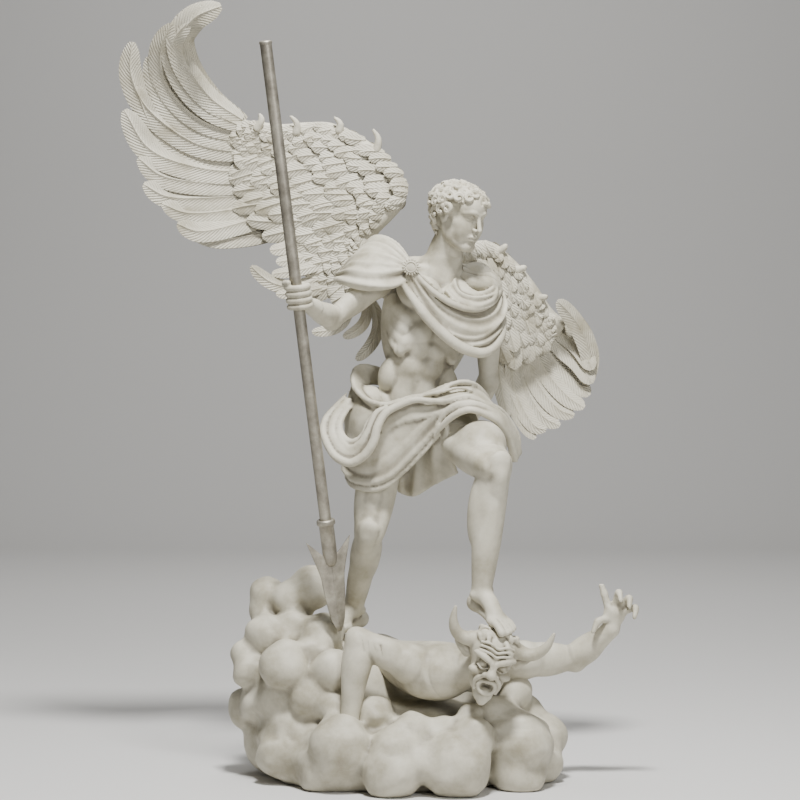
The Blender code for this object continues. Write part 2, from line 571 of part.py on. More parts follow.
def carve_wing(clay, edge, trail, flight, flight_count, columns, rows, back):
    """A thick arm along the edge, a web to the trail, covert rows and flight feathers."""
    front = Vector((0, -1, 0))
    for inward in (0.0, 0.33, 0.66):
        path = [mix(along(edge, s / 12), along(trail, s / 12), inward) for s in range(13)]
        size = 0.050 - 0.024 * inward
        sweep(clay, [(p + at(0, 0.012, 0), size, size * 0.9) for p in path], steps=2)
    for n in range(columns * 2):
        share = (n + 0.5) / (columns * 2)
        start, end = along(edge, share), along(trail, share)
        sweep(clay, [(start, 0.060, 0.034), (mix(start, end, 0.5) + at(0, 0.004, 0), 0.060, 0.026),
                     (end, 0.055, 0.018)], facing=front, steps=2, sides=8)
    for quill, width in row_of_keys(flight, flight_count):
        feather(clay, quill, width, 0.015, front)
        behind = [point + at(0, back, 0) for point in quill]
        feather(clay, behind, width * 0.9, 0.014, front)
    for row in range(rows):
        depth = (row + 0.6) / rows
        for column in range(columns):
            share = (column + (0.25 if row % 2 else 0.75)) / columns
            start = mix(along(edge, share), along(trail, share), depth * 0.86)
            end = mix(along(edge, share), along(trail, share), min(1.12, depth * 0.86 + 1.35 / rows))
            lift = at(0, -0.030 + 0.010 * depth, 0)
            feather(clay, [start + lift * 0.4, mix(start, end, 0.5) + lift * 1.3, end + lift * 1.2],
                    0.030 + 0.014 * depth, 0.011, front)
            rear = at(0, back + 0.010, 0)
            feather(clay, [start + rear, mix(start, end, 0.5) + rear * 1.2, end + rear],
                    0.038, 0.012, front)


def carve_edge_hooks(clay):
    """Small curled feathers that stand up from the wings' front edges."""
    for root, tip in ((at(-0.575, 0.19, 2.565), at(-0.560, 0.17, 2.612)),
                      (at(-0.415, 0.20, 2.550), at(-0.440, 0.18, 2.605)),
                      (at(-0.245, 0.20, 2.555), at(-0.265, 0.18, 2.600)),
                      (at(-0.095, 0.19, 2.480), at(-0.110, 0.17, 2.550)),
                      (at(0.385, 0.21, 2.075), at(0.420, 0.19, 2.095)),
                      (at(0.460, 0.23, 2.005), at(0.505, 0.21, 2.000)),
                      (at(0.545, 0.27, 1.895), at(0.590, 0.24, 1.880))):
        middle = mix(root, tip, 0.5) + at(0.012, 0, -0.004)
        limb(clay, [(root, 0.020), (middle, 0.014), (tip, 0.009)], steps=3)


def carve_wing_roots(clay):
    limb(clay, [(trunk(-0.07, 0.10, 0.10), 0.060), (at(-0.080, 0.165, 1.950), 0.060),
                (at(-0.125, 0.195, 2.060), 0.052)])
    limb(clay, [(trunk(0.07, 0.10, 0.08), 0.060), (at(0.290, 0.200, 1.900), 0.060),
                (at(0.275, 0.185, 2.020), 0.050)])


def carve_demon(clay):
    up = Vector((0, 0, 1))
    sweep(clay, [(DEMON_HIPS, 0.130, 0.100), (DEMON_LOINS, 0.115, 0.085),
                 (DEMON_CHEST, 0.165, 0.115), (mix(DEMON_CHEST, DEMON_NECK, 0.5), 0.120, 0.095),
                 (DEMON_NECK, 0.062, 0.060), (DEMON_HEAD + at(0, 0.05, 0), 0.060, 0.060)], facing=up)
    ball(clay, DEMON_HIPS, (0.14, 0.12, 0.10))
    for shoulder in (DEMON_SHOULDER_R, DEMON_SHOULDER_L):
        ball(clay, mix(DEMON_CHEST, shoulder, 0.62) + at(0, -0.030, -0.045), (0.085, 0.070, 0.062))
        ball(clay, mix(DEMON_CHEST, shoulder, 0.60) + at(0, 0.030, 0.050), (0.090, 0.080, 0.055))
        ball(clay, shoulder, 0.068)
    carve_arm(clay, DEMON_SHOULDER_R, DEMON_ELBOW_R, DEMON_WRIST_R, Vector((-0.6, 0, 0.8)), 1.25)
    limb(clay, [(DEMON_WRIST_R, 0.032), (DEMON_WRIST_R + at(-0.01, -0.02, -0.07), 0.045)])
    limb(clay, [(mix(DEMON_CHEST, DEMON_SHOULDER_L, 0.4), 0.080), (DEMON_SHOULDER_L, 0.066)])
    carve_arm(clay, DEMON_SHOULDER_L, DEMON_ELBOW_L, DEMON_WRIST_L, Vector((0.2, 0.3, -0.9)), 1.25)
    carve_demon_hand(clay)
    for way in (-1, 1):
        knee = DEMON_HIPS + at(-0.12 + 0.20 * way, 0.14, -0.16)
        limb(clay, [(DEMON_HIPS, 0.085), (knee, 0.070), (knee + at(-0.10, 0.02, -0.08), 0.055)])
    carve_demon_head(clay)


def carve_demon_hand(clay):
    palm = DEMON_WRIST_L + at(0.012, -0.012, 0.060)
    limb(clay, [(DEMON_WRIST_L, 0.030), (palm, 0.040)])
    ball(clay, palm, (0.044, 0.028, 0.046))
    fingers = (
        ((-0.026, 0, 0.030), (-0.048, -0.01, 0.080), (-0.056, -0.01, 0.128)),
        ((0.004, 0, 0.040), (0.010, -0.03, 0.082), (0.016, -0.06, 0.050)),
        ((0.028, 0, 0.034), (0.052, -0.025, 0.062), (0.050, -0.055, 0.030)),
        ((0.042, 0, 0.012), (0.078, -0.020, 0.022), (0.070, -0.045, -0.012)),
        ((-0.034, -0.005, -0.018), (-0.066, -0.020, -0.028), (-0.085, -0.030, -0.066)),
    )
    for joints in fingers:
        first, second, third = [palm + at(*joint) for joint in joints]
        limb(clay, [(first, 0.017), (second, 0.0145), (third, 0.0115)], steps=3)


DEMON_TURN = (Matrix.Rotation(math.radians(6), 3, "Z")
              @ Matrix.Rotation(math.radians(16), 3, "Y")
              @ Matrix.Rotation(math.radians(14), 3, "X"))


DEMON_WIDTH = 1.2           # the demon's broad face


def demon_point(x, y, z):
    return DEMON_HEAD + DEMON_TURN @ at(x * DEMON_WIDTH, y * 1.08, z)


def carve_demon_head(clay):
    up, face = DEMON_TURN @ Vector((0, 0, 1)), DEMON_TURN @ Vector((0, -1, 0))
    ball(clay, demon_point(0, 0.015, 0.045), (0.082 * DEMON_WIDTH, 0.098, 0.078), up, face)
    ball(clay, demon_point(0, -0.020, -0.045), (0.062 * DEMON_WIDTH, 0.066, 0.095), up, face)
    ball(clay, demon_point(0, -0.050, -0.128), (0.034 * DEMON_WIDTH, 0.034, 0.030), up, face)
    ball(clay, demon_point(0, -0.082, -0.012), (0.020, 0.030, 0.024), up, face)
    for side in (-1, 1):
        muscle(clay, demon_point(side * 0.006, -0.080, 0.020), demon_point(side * 0.064, -0.058, 0.048),
               0.016, 0.020, face)
        ball(clay, demon_point(side * 0.048, -0.045, -0.020), (0.028, 0.028, 0.028), up, face)
        limb(clay, [(demon_point(side * 0.055, 0.010, 0.070), 0.030),
                    (demon_point(side * 0.112, 0.000, 0.066), 0.023),
                    (demon_point(side * 0.150, -0.010, 0.105), 0.016),
                    (demon_point(side * 0.165, -0.018, 0.165), 0.008)])
        limb(clay, [(demon_point(side * 0.075, 0.010, 0.000), 0.022),
                    (demon_point(side * 0.125, 0.020, 0.040), 0.009)])
    lips = [demon_point(0.030 * math.sin(t), -0.078, -0.074 + 0.030 * math.cos(t))
            for t in [math.radians(a) for a in range(0, 361, 45)]]
    sweep(clay, [(point, 0.011) for point in lips], steps=2, sides=6)


# Cloud lumps: centre and radius
CLOUDS = [
    # a tall stack on the right hand of the archangel
    (-0.525, 0.10, 0.700, 0.075), (-0.345, 0.05, 0.735, 0.088), (-0.430, 0.03, 0.700, 0.068),
    (-0.535, 0.08, 0.640, 0.060), (-0.420, 0.06, 0.640, 0.075), (-0.520, 0.00, 0.555, 0.085),
    (-0.420, -0.02, 0.570, 0.075), (-0.300, -0.06, 0.560, 0.085), (-0.595, 0.00, 0.475, 0.066),
    (-0.575, -0.04, 0.410, 0.070), (-0.445, -0.16, 0.455, 0.098), (-0.260, -0.20, 0.440, 0.078),
    (-0.330, -0.12, 0.500, 0.070), (-0.600, 0.06, 0.260, 0.078), (-0.530, -0.02, 0.290, 0.090),
    (-0.440, -0.06, 0.310, 0.130), (-0.345, -0.17, 0.335, 0.080), (-0.250, -0.21, 0.300, 0.066),
    (-0.400, -0.05, 0.180, 0.160), (-0.465, -0.16, 0.110, 0.085), (-0.500, 0.06, 0.130, 0.120),
    # front
    (-0.225, -0.335, 0.175, 0.120), (-0.250, -0.240, 0.080, 0.140), (-0.095, -0.250, 0.285, 0.072),
    (-0.020, -0.400, 0.085, 0.112), (-0.020, -0.380, 0.180, 0.080), (0.055, -0.330, 0.215, 0.085),
    (0.155, -0.310, 0.210, 0.078), (0.095, -0.400, 0.120, 0.075), (0.210, -0.390, 0.105, 0.130),
    (0.275, -0.360, 0.210, 0.080), (0.262, -0.300, 0.285, 0.045), (0.450, -0.250, 0.165, 0.130),
    (0.450, -0.260, 0.060, 0.105), (0.555, -0.070, 0.165, 0.095), (0.535, -0.120, 0.075, 0.090),
    (0.440, -0.110, 0.340, 0.075), (0.480, -0.050, 0.270, 0.070), (0.360, -0.200, 0.250, 0.100),
    # back
    (0.500, 0.120, 0.120, 0.130), (0.400, 0.270, 0.130, 0.140), (0.240, 0.360, 0.140, 0.145),
    (0.080, 0.400, 0.180, 0.150), (-0.100, 0.420, 0.170, 0.155), (-0.270, 0.370, 0.180, 0.150),
    (-0.420, 0.240, 0.190, 0.150), (0.330, 0.140, 0.260, 0.120), (0.180, 0.220, 0.300, 0.120),
    (-0.260, 0.260, 0.400, 0.130), (-0.400, 0.140, 0.420, 0.120), (-0.120, 0.420, 0.330, 0.110),
    (-0.200, 0.130, 0.440, 0.110), (0.040, 0.060, 0.300, 0.140), (-0.270, 0.030, 0.470, 0.070),
]


def carve_clouds(clay):
    for x, y, z, radius in CLOUDS:
        ball(clay, at(x, y, z), (radius, radius, radius * 0.96))
    ball(clay, at(-0.02, 0.00, 0.10), (0.52, 0.40, 0.22))
    ball(clay, at(-0.25, 0.05, 0.25), (0.28, 0.26, 0.24))


def lance_axis():
    return (GRIP - LANCE_POINT).normalized()


def lance_turn():
    """Columns: across the blade, through the blade, and up the lance."""
    return frame_of(lance_axis(), Vector((0.25, -1, 0)))


def turned(name, profile, steps=16):
    """A solid of revolution about the lance, from (radius, height) pairs, top to bottom."""
    mesh = bpy.data.meshes.new(name)
    mesh.from_pydata([(r, 0, z) for r, z in profile], [(i, i + 1) for i in range(len(profile) - 1)], [])
    piece = bpy.data.objects.new(name, mesh)
    screw = piece.modifiers.new("turn", "SCREW")
    screw.steps = screw.render_steps = steps
    screw.use_merge_vertices = True
    screw.merge_threshold = 0.0001
    piece.matrix_world = Matrix.Translation(LANCE_POINT) @ lance_turn().to_4x4()
    return piece


SHAFT_FOOT = HEAD_LENGTH * 0.93      # height of the shaft's lower end above the point


def make_shaft(collection, extra=0.0, name="lance_shaft"):
    radius = SHAFT_DIAMETER / 2 + extra
    low, high = SHAFT_FOOT - extra, SHAFT_FOOT + SHAFT_LENGTH + extra
    rim = radius + RIM_WALL
    profile = [(0, high), (radius * 0.8, high), (rim, high - 0.004), (rim, high - 0.010),
               (radius, high - 0.014), (radius, low), (0, low)]
    piece = turned(name, profile)
    collection.objects.link(piece)
    return piece


def blade_mesh(name, extra=0.0):
    """The barbed blade: a ridged plate whose barbs sweep up either side of the socket."""
    outer = [(POINT_WIDTH / 2, 0.0), (0.030, HEAD_LENGTH * 0.16), (0.042, HEAD_LENGTH * 0.42),
             (0.050, HEAD_LENGTH * 0.62), (BARB_SPAN * 0.40, HEAD_LENGTH * 0.80),
             (BARB_SPAN / 2, HEAD_LENGTH)]
    inner = [(BARB_SPAN * 0.30, HEAD_LENGTH * 0.905), (BARB_SPAN * 0.17, HEAD_LENGTH * 0.84),
             (0.0, HEAD_LENGTH * 0.79)]
    outline = [(x + extra, z - (extra if i == 0 else 0)) for i, (x, z) in enumerate(outer)]
    outline += [(x, z + extra) for x, z in inner]
    full = outline + [(-x, z) for x, z in reversed(outline[:-1])]
    edge = 0.0022 + extra
    ridge = BLADE_THICKNESS / 2 + extra
    shape = bmesh.new()
    front = [shape.verts.new((x, -edge, z)) for x, z in full]
    rear = [shape.verts.new((x, edge, z)) for x, z in full]
    spine_heights = [0.02 * HEAD_LENGTH, 0.42 * HEAD_LENGTH, 0.74 * HEAD_LENGTH]
    spine_front = [shape.verts.new((0, -ridge * k, z)) for k, z in zip((0.5, 1, 1), spine_heights)]
    spine_rear = [shape.verts.new((0, ridge * k, z)) for k, z in zip((0.5, 1, 1), spine_heights)]
    count = len(full)
    for k in range(count):
        shape.faces.new((front[k], front[(k + 1) % count], rear[(k + 1) % count], rear[k]))
    half = count // 2
    for plate, spine, flip in ((front, spine_front, False), (rear, spine_rear, True)):
        for side in (0, 1):
            rim = plate[:half + 1] if side == 0 else [plate[0]] + plate[:half - 1:-1]
            pairs = list(zip(rim, rim[1:]))
            middle = len(pairs) // 2
            for k, (a, b) in enumerate(pairs):
                s = spine[0] if k < 1 else spine[1] if k < middle else spine[2]
                face = (a, b, s)
                shape.faces.new(face if flip == (side == 1) else tuple(reversed(face)))
            for k, s, t in ((1, spine[0], spine[1]), (middle, spine[1], spine[2])):
                face = (rim[k], t, s)
                shape.faces.new(face if flip == (side == 1) else tuple(reversed(face)))
    bmesh.ops.holes_fill(shape, edges=[e for e in shape.edges if e.is_boundary], sides=0)
    bmesh.ops.recalc_face_normals(shape, faces=shape.faces)
    mesh = bpy.data.meshes.new(name)
    shape.to_mesh(mesh)
    shape.free()
    piece = bpy.data.objects.new(name, mesh)
    piece.matrix_world = Matrix.Translation(LANCE_POINT) @ lance_turn().to_4x4()
    return piece


def socket_profile(extra=0.0):
    """The socket and its collar, outside only."""
    outer = SHAFT_DIAMETER / 2 + SOCKET_GAP + SOCKET_WALL + extra
    top = SHAFT_FOOT + SOCKET_DEPTH + extra
    foot = HEAD_LENGTH * 0.70 - extra
    collar = outer + COLLAR_WALL
    return [(0, top), (outer, top), (collar, top - 0.005), (collar, top - COLLAR_LENGTH),
            (outer, top - COLLAR_LENGTH - 0.006), (outer * 0.94, HEAD_LENGTH * 0.80),
            (outer * 0.5, foot), (0, foot)]


def boolean(piece, cutter, operation):
    cut = piece.modifiers.new(operation.lower(), "BOOLEAN")
    cut.operation = operation
    cut.solver = "EXACT"
    cut.object = cutter


def hide(piece, helpers):
    helpers.objects.link(piece)
    piece.hide_render = True
    piece.display_type = "WIRE"
    return piece


def make_head(collection, helpers):
    """Barbed blade and socket in one, bored for the shaft."""
    piece = blade_mesh("lance_head")
    collection.objects.link(piece)
    socket = hide(turned("socket_form", socket_profile()), helpers)
    bore_radius = SHAFT_DIAMETER / 2 + SOCKET_GAP
    top = SHAFT_FOOT + SOCKET_DEPTH
    bore = hide(turned("socket_bore", [(0, top + 0.05), (bore_radius, top + 0.05),
                                       (bore_radius, SHAFT_FOOT - SOCKET_GAP),
                                       (0, SHAFT_FOOT - SOCKET_GAP)]), helpers)
    boolean(piece, socket, "UNION")
    boolean(piece, bore, "DIFFERENCE")
    return piece


def melted(piece):
    """The forms of a piece melted into one block, with no crumbs and no pinched edges."""
    melt = piece.modifiers.new("melt", "REMESH")
    melt.mode = "VOXEL"
    melt.voxel_size = GRAIN * FULL
    soften = piece.modifiers.new("soften", "SMOOTH")
    soften.iterations = SOFTENING_STEPS
    view = bpy.context.evaluated_depsgraph_get()
    whole = bmesh.new()
    whole.from_object(piece, view)
    piece.modifiers.clear()
    drop_crumbs(whole)
    for _ in range(4):
        pinched = [edge for edge in whole.edges if len(edge.link_faces) != 2]
        if not pinched:
            break
        around = {face for edge in pinched for vert in edge.verts for face in vert.link_faces}
        bmesh.ops.delete(whole, geom=list(around), context="FACES")
        bmesh.ops.delete(whole, geom=[v for v in whole.verts if not v.link_faces], context="VERTS")
        bmesh.ops.holes_fill(whole, edges=[e for e in whole.edges if e.is_boundary], sides=0)
        drop_crumbs(whole)
    bmesh.ops.triangulate(whole, faces=whole.faces)
    bmesh.ops.recalc_face_normals(whole, faces=whole.faces)
    mesh = bpy.data.meshes.new(piece.name)
    whole.to_mesh(mesh)
    whole.free()
    return mesh


def drop_crumbs(shape):
    """Deletes every island but the largest, and so any hollow inside the block."""
    waiting = set(shape.verts)
    largest = []
    while waiting:
        island = [waiting.pop()]
        for vert in island:
            near = {edge.other_vert(vert) for edge in vert.link_edges} & waiting
            waiting -= near
            island.extend(near)
        if len(island) > len(largest):
            largest = island
    kept = set(largest)
    bmesh.ops.delete(shape, geom=[v for v in shape.verts if v not in kept], context="VERTS")


def make_group(collection, helpers):
    clay = bmesh.new()
    carve_torso(clay)
    carve_neck_and_head(clay)
    palm = carve_fist(clay)
    carve_arm(clay, SHOULDER_R, ELBOW_R, mix(ELBOW_R, palm, 0.90), Vector((-0.3, 0.5, -0.8)).normalized())
    carve_arm(clay, SHOULDER_L, ELBOW_L, WRIST_L, Vector((0.5, 0.8, -0.2)).normalized())
    limb(clay, [(WRIST_L, 0.030), (WRIST_L + at(-0.05, 0.02, -0.06), 0.038)])
    carve_leg(clay, HIP_R, KNEE_R, ANKLE_R, Vector((-0.25, -0.95, 0)).normalized(),
              (0.096, 0.070, 0.062, 0.040))
    carve_leg(clay, HIP_L, KNEE_L, ANKLE_L, Vector((0.45, -0.85, 0.2)).normalized(),
              (0.106, 0.078, 0.075, 0.040))
    carve_foot(clay, ANKLE_R, HEEL_R, TOES_R)
    carve_foot(clay, ANKLE_L, HEEL_L, TOES_L)
    carve_mantle(clay)
    carve_hip_cloth(clay)
    carve_wing(clay, RIGHT_EDGE, RIGHT_TRAIL, RIGHT_FLIGHT, 22, 12, 4, 0.045)
    carve_wing(clay, LEFT_EDGE, LEFT_TRAIL, LEFT_FLIGHT, 12, 8, 4, 0.045)
    carve_edge_hooks(clay)
    carve_wing_roots(clay)
    carve_demon(clay)
    carve_clouds(clay)
    bmesh.ops.recalc_face_normals(clay, faces=clay.faces)
    mesh = bpy.data.meshes.new("archangel_group")
    clay.to_mesh(mesh)
    clay.free()
    piece = bpy.data.objects.new("archangel_group", mesh)
    collection.objects.link(piece)

    piece.data = melted(piece)
    lighten = piece.modifiers.new("lighten", "DECIMATE")
    lighten.ratio = FACE_SHARE

    floor_mesh = bpy.data.meshes.new("floor_cut")
    block = bmesh.new()
    bmesh.ops.create_cube(block, size=4 * GROUP_HEIGHT,
                          matrix=Matrix.Translation((0, 0, -2 * GROUP_HEIGHT)))
    block.to_mesh(floor_mesh)
    block.free()
    boolean(piece, hide(bpy.data.objects.new("floor_cut", floor_mesh), helpers), "DIFFERENCE")
    boolean(piece, hide(blade_mesh("blade_room", FIT_GAP), helpers), "DIFFERENCE")
    shaft_room = make_shaft(helpers, FIT_GAP, "shaft_room")
    shaft_room.hide_render = True
    shaft_room.display_type = "WIRE"
    boolean(piece, shaft_room, "DIFFERENCE")
    return piece


def material(name, colour, roughness, metallic):
    finish = bpy.data.materials.new(name)
    finish.use_nodes = True
    shader = finish.node_tree.nodes["Principled BSDF"]
    shader.inputs["Base Color"].default_value = (*colour, 1)
    shader.inputs["Roughness"].default_value = roughness
    shader.inputs["Metallic"].default_value = metallic
    return finish


def main():
    for old in list(bpy.data.objects):
        bpy.data.objects.remove(old)
    collection = bpy.data.collections.new("archangel_statue")
    helpers = bpy.data.collections.new("cutters")
    bpy.context.scene.collection.children.link(collection)
    bpy.context.scene.collection.children.link(helpers)
    stone = material("aged_marble", (0.60, 0.58, 0.51), 0.62, 0.0)
    iron = material("weathered_bronze", (0.25, 0.23, 0.19), 0.45, 0.8)
    group = make_group(collection, helpers)
    group.data.materials.append(stone)
    for piece in (make_shaft(collection), make_head(collection, helpers)):
        piece.data.materials.append(iron)


main()
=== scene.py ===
import math
import time

import bmesh
import bpy
import numpy as np
import openvdb
from mathutils import Matrix, Vector


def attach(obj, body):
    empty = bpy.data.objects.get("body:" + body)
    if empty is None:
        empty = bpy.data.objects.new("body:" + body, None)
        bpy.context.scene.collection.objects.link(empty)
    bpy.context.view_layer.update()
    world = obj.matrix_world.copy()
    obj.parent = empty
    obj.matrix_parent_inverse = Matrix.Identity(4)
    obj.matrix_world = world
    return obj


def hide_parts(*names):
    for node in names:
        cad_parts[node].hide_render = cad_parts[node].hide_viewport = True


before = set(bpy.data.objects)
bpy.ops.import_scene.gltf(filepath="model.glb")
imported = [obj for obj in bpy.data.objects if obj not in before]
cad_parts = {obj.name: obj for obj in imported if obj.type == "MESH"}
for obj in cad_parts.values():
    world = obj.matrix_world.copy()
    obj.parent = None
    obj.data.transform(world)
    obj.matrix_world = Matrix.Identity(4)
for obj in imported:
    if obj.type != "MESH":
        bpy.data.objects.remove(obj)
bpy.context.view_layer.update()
started = time.time()


def stage(text):
    print(f"{time.time() - started:6.1f} s  {text}")


# Small vector helpers; every place is in metres, x to the right, y away from the viewer, z up
def at(*numbers):
    return np.array(numbers, float)


def mix(a, b, share):
    return a + (b - a) * share


def unit(a):
    return a / max(float(np.linalg.norm(a)), 1e-9)


def beside(side, *places):
    # places on the left of a face, or their mirror images where side is -1
    return [at(side * x, y, z) for x, y, z in places]


drawing = dict(eyeDistance=8.5, eyeHeight=1.47, square=0.0039)


def drawn(column, row, depth):
    # a mark on the front drawing's grid, pushed back by depth metres
    reach = (1 + depth / drawing["eyeDistance"]) * drawing["square"]
    return at((column - 400) * reach, depth, drawing["eyeHeight"] + (400 - row) * reach)


def marks(*points):
    return np.array([drawn(*point) for point in points])


def flow(points, count):
    # count rows along a smooth curve through the given rows, evenly in row number
    rows = np.asarray(points, float)
    if len(rows) == 2:
        share = np.linspace(0, 1, count)[:, None]
        return rows[0] + (rows[1] - rows[0]) * share
    padded = np.vstack([2 * rows[0] - rows[1], rows, 2 * rows[-1] - rows[-2]])
    place = np.linspace(0, len(rows) - 1, count)
    i = np.minimum(place.astype(int), len(rows) - 2)
    t = (place - i)[:, None]
    a, b, c, d = padded[i], padded[i + 1], padded[i + 2], padded[i + 3]
    return 0.5 * (2 * b + (c - a) * t + (2 * a - 5 * b + 4 * c - d) * t ** 2 + (3 * b - a - 3 * c + d)
        * t ** 3)


def squareUp(along, facing):
    # rows: side, facing and along, at right angles
    z = unit(along)
    x = np.cross(facing, z)
    if np.linalg.norm(x) < 1e-6:
        x = np.cross(at(1, 0.1, 0), z)
    x = unit(x)
    return np.array([x, np.cross(z, x), z])


def newObject(name, content):
    made = bpy.data.objects.new(name, content)
    bpy.context.scene.collection.objects.link(made)
    return made


class Clay:
    # a block of distance values that forms are pressed into; negative is inside
    reach = 0.03

    def __init__(self, low, high, grain):
        self.low = np.array(low, float)
        self.grain = grain
        self.count = np.ceil((np.array(high) - self.low) / grain).astype(int) + 1
        self.field = np.full(tuple(self.count), self.reach, np.float32)

    def window(self, low, high):
        first = np.maximum(((low - self.reach - self.low) / self.grain).astype(int), 0)
        last = np.minimum(((high + self.reach - self.low) / self.grain).astype(int) + 2, self.count)
        if np.any(last <= first):
            return None
        axes = [self.low[k] + self.grain * np.arange(first[k], last[k]) for k in range(3)]
        cut = tuple(slice(a, b) for a, b in zip(first, last))
        return cut, (axes[0][:, None, None], axes[1][None, :, None], axes[2][None, None, :])

    def press(self, cut, distance, melt, hollow=False):
        # joins a form, or takes it away, with a soft seam of width melt
        distance = np.minimum(distance, self.reach).astype(np.float32)
        sign = -1 if hollow else 1
        old = self.field[cut] * sign
        near = np.maximum(melt - np.abs(old - distance), 0)
        self.field[cut] = sign * (np.minimum(old, distance) - near * near / (4 * melt))

    def egg(self, centre, radii, along=None, facing=None, melt=0.012, hollow=False):
        radii = np.broadcast_to(np.array(radii, float), 3)
        turn = np.eye(3)
        if along is not None:
            turn = squareUp(along, at(0, -1, 0) if facing is None else facing)
        size = np.sqrt(((turn * radii[:, None]) ** 2).sum(0))
        found = self.window(centre - size, centre + size)
        if found is None:
            return
        cut, (x, y, z) = found
        x, y, z = x - centre[0], y - centre[1], z - centre[2]
        flat = steep = 0
        for row, radius in zip(turn, radii):
            part = (x * row[0] + y * row[1] + z * row[2]) / radius
            flat = flat + part ** 2
            steep = steep + (part / radius) ** 2
        flat, steep = np.sqrt(flat), np.sqrt(steep)
        self.press(cut, flat * (flat - 1) / np.maximum(steep, 1e-6), melt, hollow)

    def eggs(self, *rows, side=1, hollow=False):
        # rows of place, radii and melt; side is -1 for the mirror image
        for (x, y, z), radii, melt in rows:
            self.egg(at(side * x, y, z), radii, melt=melt, hollow=hollow)

    def muscle(self, start, end, width, depth, facing, swell=1.08, melt=0.012):
        half = float(np.linalg.norm(end - start)) / 2 * swell
        self.egg((start + end) / 2, (width, depth, half), end - start, facing, melt)

    def rope(self, points, widths, depths=None, facing=None, melt=0.01, hollow=False, count=None):
        # a tube along points; widths across, depths towards facing
        points = np.asarray(points, float)
        widths = np.broadcast_to(np.array(widths, float), len(points))
        depths = widths if depths is None else np.broadcast_to(np.array(depths, float), len(points))
        table = np.column_stack([points, widths, depths])
        table = flow(table, count or (len(points) - 1) * 5 + 1)
        biggest = table[:, 3:].max()
        found = self.window(table[:, :3].min(0) - biggest, table[:, :3].max(0) + biggest)
        if found is None:
            return
        cut, _ = found
        piece = np.full(self.field[cut].shape, self.reach, np.float32)
        corner = np.array([part.start for part in cut])
        facing = at(0, -1, 0) if facing is None else facing
        for a, b in zip(table, table[1:]):
            big = max(a[3:].max(), b[3:].max())
            inner = self.window(np.minimum(a[:3], b[:3]) - big, np.maximum(a[:3], b[:3]) + big)
            if inner is None:
                continue
            small, (x, y, z) = inner
            small = tuple(slice(s.start - c, s.stop - c) for s, c in zip(small, corner))
            along = b[:3] - a[:3]
            long = float(along @ along)
            if long < 1e-12:
                continue
            x, y, z = x - a[0], y - a[1], z - a[2]
            share = np.clip((x * along[0] + y * along[1] + z * along[2]) / long, 0, 1)
            x, y, z = x - share * along[0], y - share * along[1], z - share * along[2]
            width = a[3] + share * (b[3] - a[3])
            depth = a[4] + share * (b[4] - a[4])
            if abs(a[3] - a[4]) + abs(b[3] - b[4]) < 1e-6:
                distance = np.sqrt(x * x + y * y + z * z) - width
            else:
                side, out, up = squareUp(along, facing)
                u = (x * side[0] + y * side[1] + z * side[2]) / width
                v = (x * out[0] + y * out[1] + z * out[2]) / depth
                w = (x * up[0] + y * up[1] + z * up[2]) / np.minimum(width, depth)
                distance = (np.sqrt(u * u + v * v + w * w) - 1) * np.minimum(width, depth)
            piece[small] = np.minimum(piece[small], distance)
        self.press(cut, piece, melt, hollow)

    def mesh(self, name, move=None, smooth=1):
        # cuts the skin out of the block; adds how hollow each spot is, for the patina and the painted
        # shade in the hollows
        grid = openvdb.FloatGrid(background=self.reach)
        grid.copyFromArray(self.field, tolerance=0)
        points, quads = grid.convertToQuads(isovalue=0.0)
        points = points.astype(np.float64)
        for _ in range(smooth):
            points = mix(points, neighbourMean(points, quads), 0.5)
        points = points * self.grain + self.low
        if move is not None:
            points = points @ move[0].T + move[1]
        return skin(name, points, quads, "stone")


def neighbourMean(points, faces):
    total = np.zeros_like(points)
    number = np.zeros(len(points))
    corners = faces.shape[1]
    for k in range(corners):
        a, b = faces[:, k], faces[:, (k + 1) % corners]
        for p, q in ((a, b), (b, a)):
            for axis in range(3):
                total[:, axis] += np.bincount(p, points[q, axis], len(points))
            number += np.bincount(p, minlength=len(points))
    return total / np.maximum(number, 1)[:, None]


def hollowness(points, faces):
    # how far each spot lies below its wider surroundings, in millimetres
    corners = faces.shape[1]
    grain = np.linalg.norm(points[faces[:, 0]] - points[faces[:, 1]], axis=1).mean()
    spread = int(min(5, max(1, round(6 * (0.0046 / grain) ** 2))))
    normal = np.zeros_like(points)
    a, b, c = points[faces[:, 0]], points[faces[:, 1]], points[faces[:, 2]]
    face = np.cross(b - a, c - a)
    if corners == 4:
        face = face + np.cross(c - a, points[faces[:, 3]] - a)
    for k in range(corners):
        for axis in range(3):
            normal[:, axis] += np.bincount(faces[:, k], face[:, axis], len(points))
    normal /= np.maximum(np.linalg.norm(normal, axis=1), 1e-12)[:, None]
    wide = points
    for _ in range(spread):
        wide = neighbourMean(wide, faces)
    return ((wide - points) * normal).sum(1) * 1000


def facedOut(points, faces):
    # turns the faces round when the form is inside out
    p = points - points.mean(0)
    a, b, c = p[faces[:, 0]], p[faces[:, 1]], p[faces[:, 2]]
    volume = np.einsum("ij,ij->", a, np.cross(b, c))
    if faces.shape[1] == 4:
        volume += np.einsum("ij,ij->", a, np.cross(c, p[faces[:, 3]]))
    return faces if volume > 0 else faces[:, ::-1]


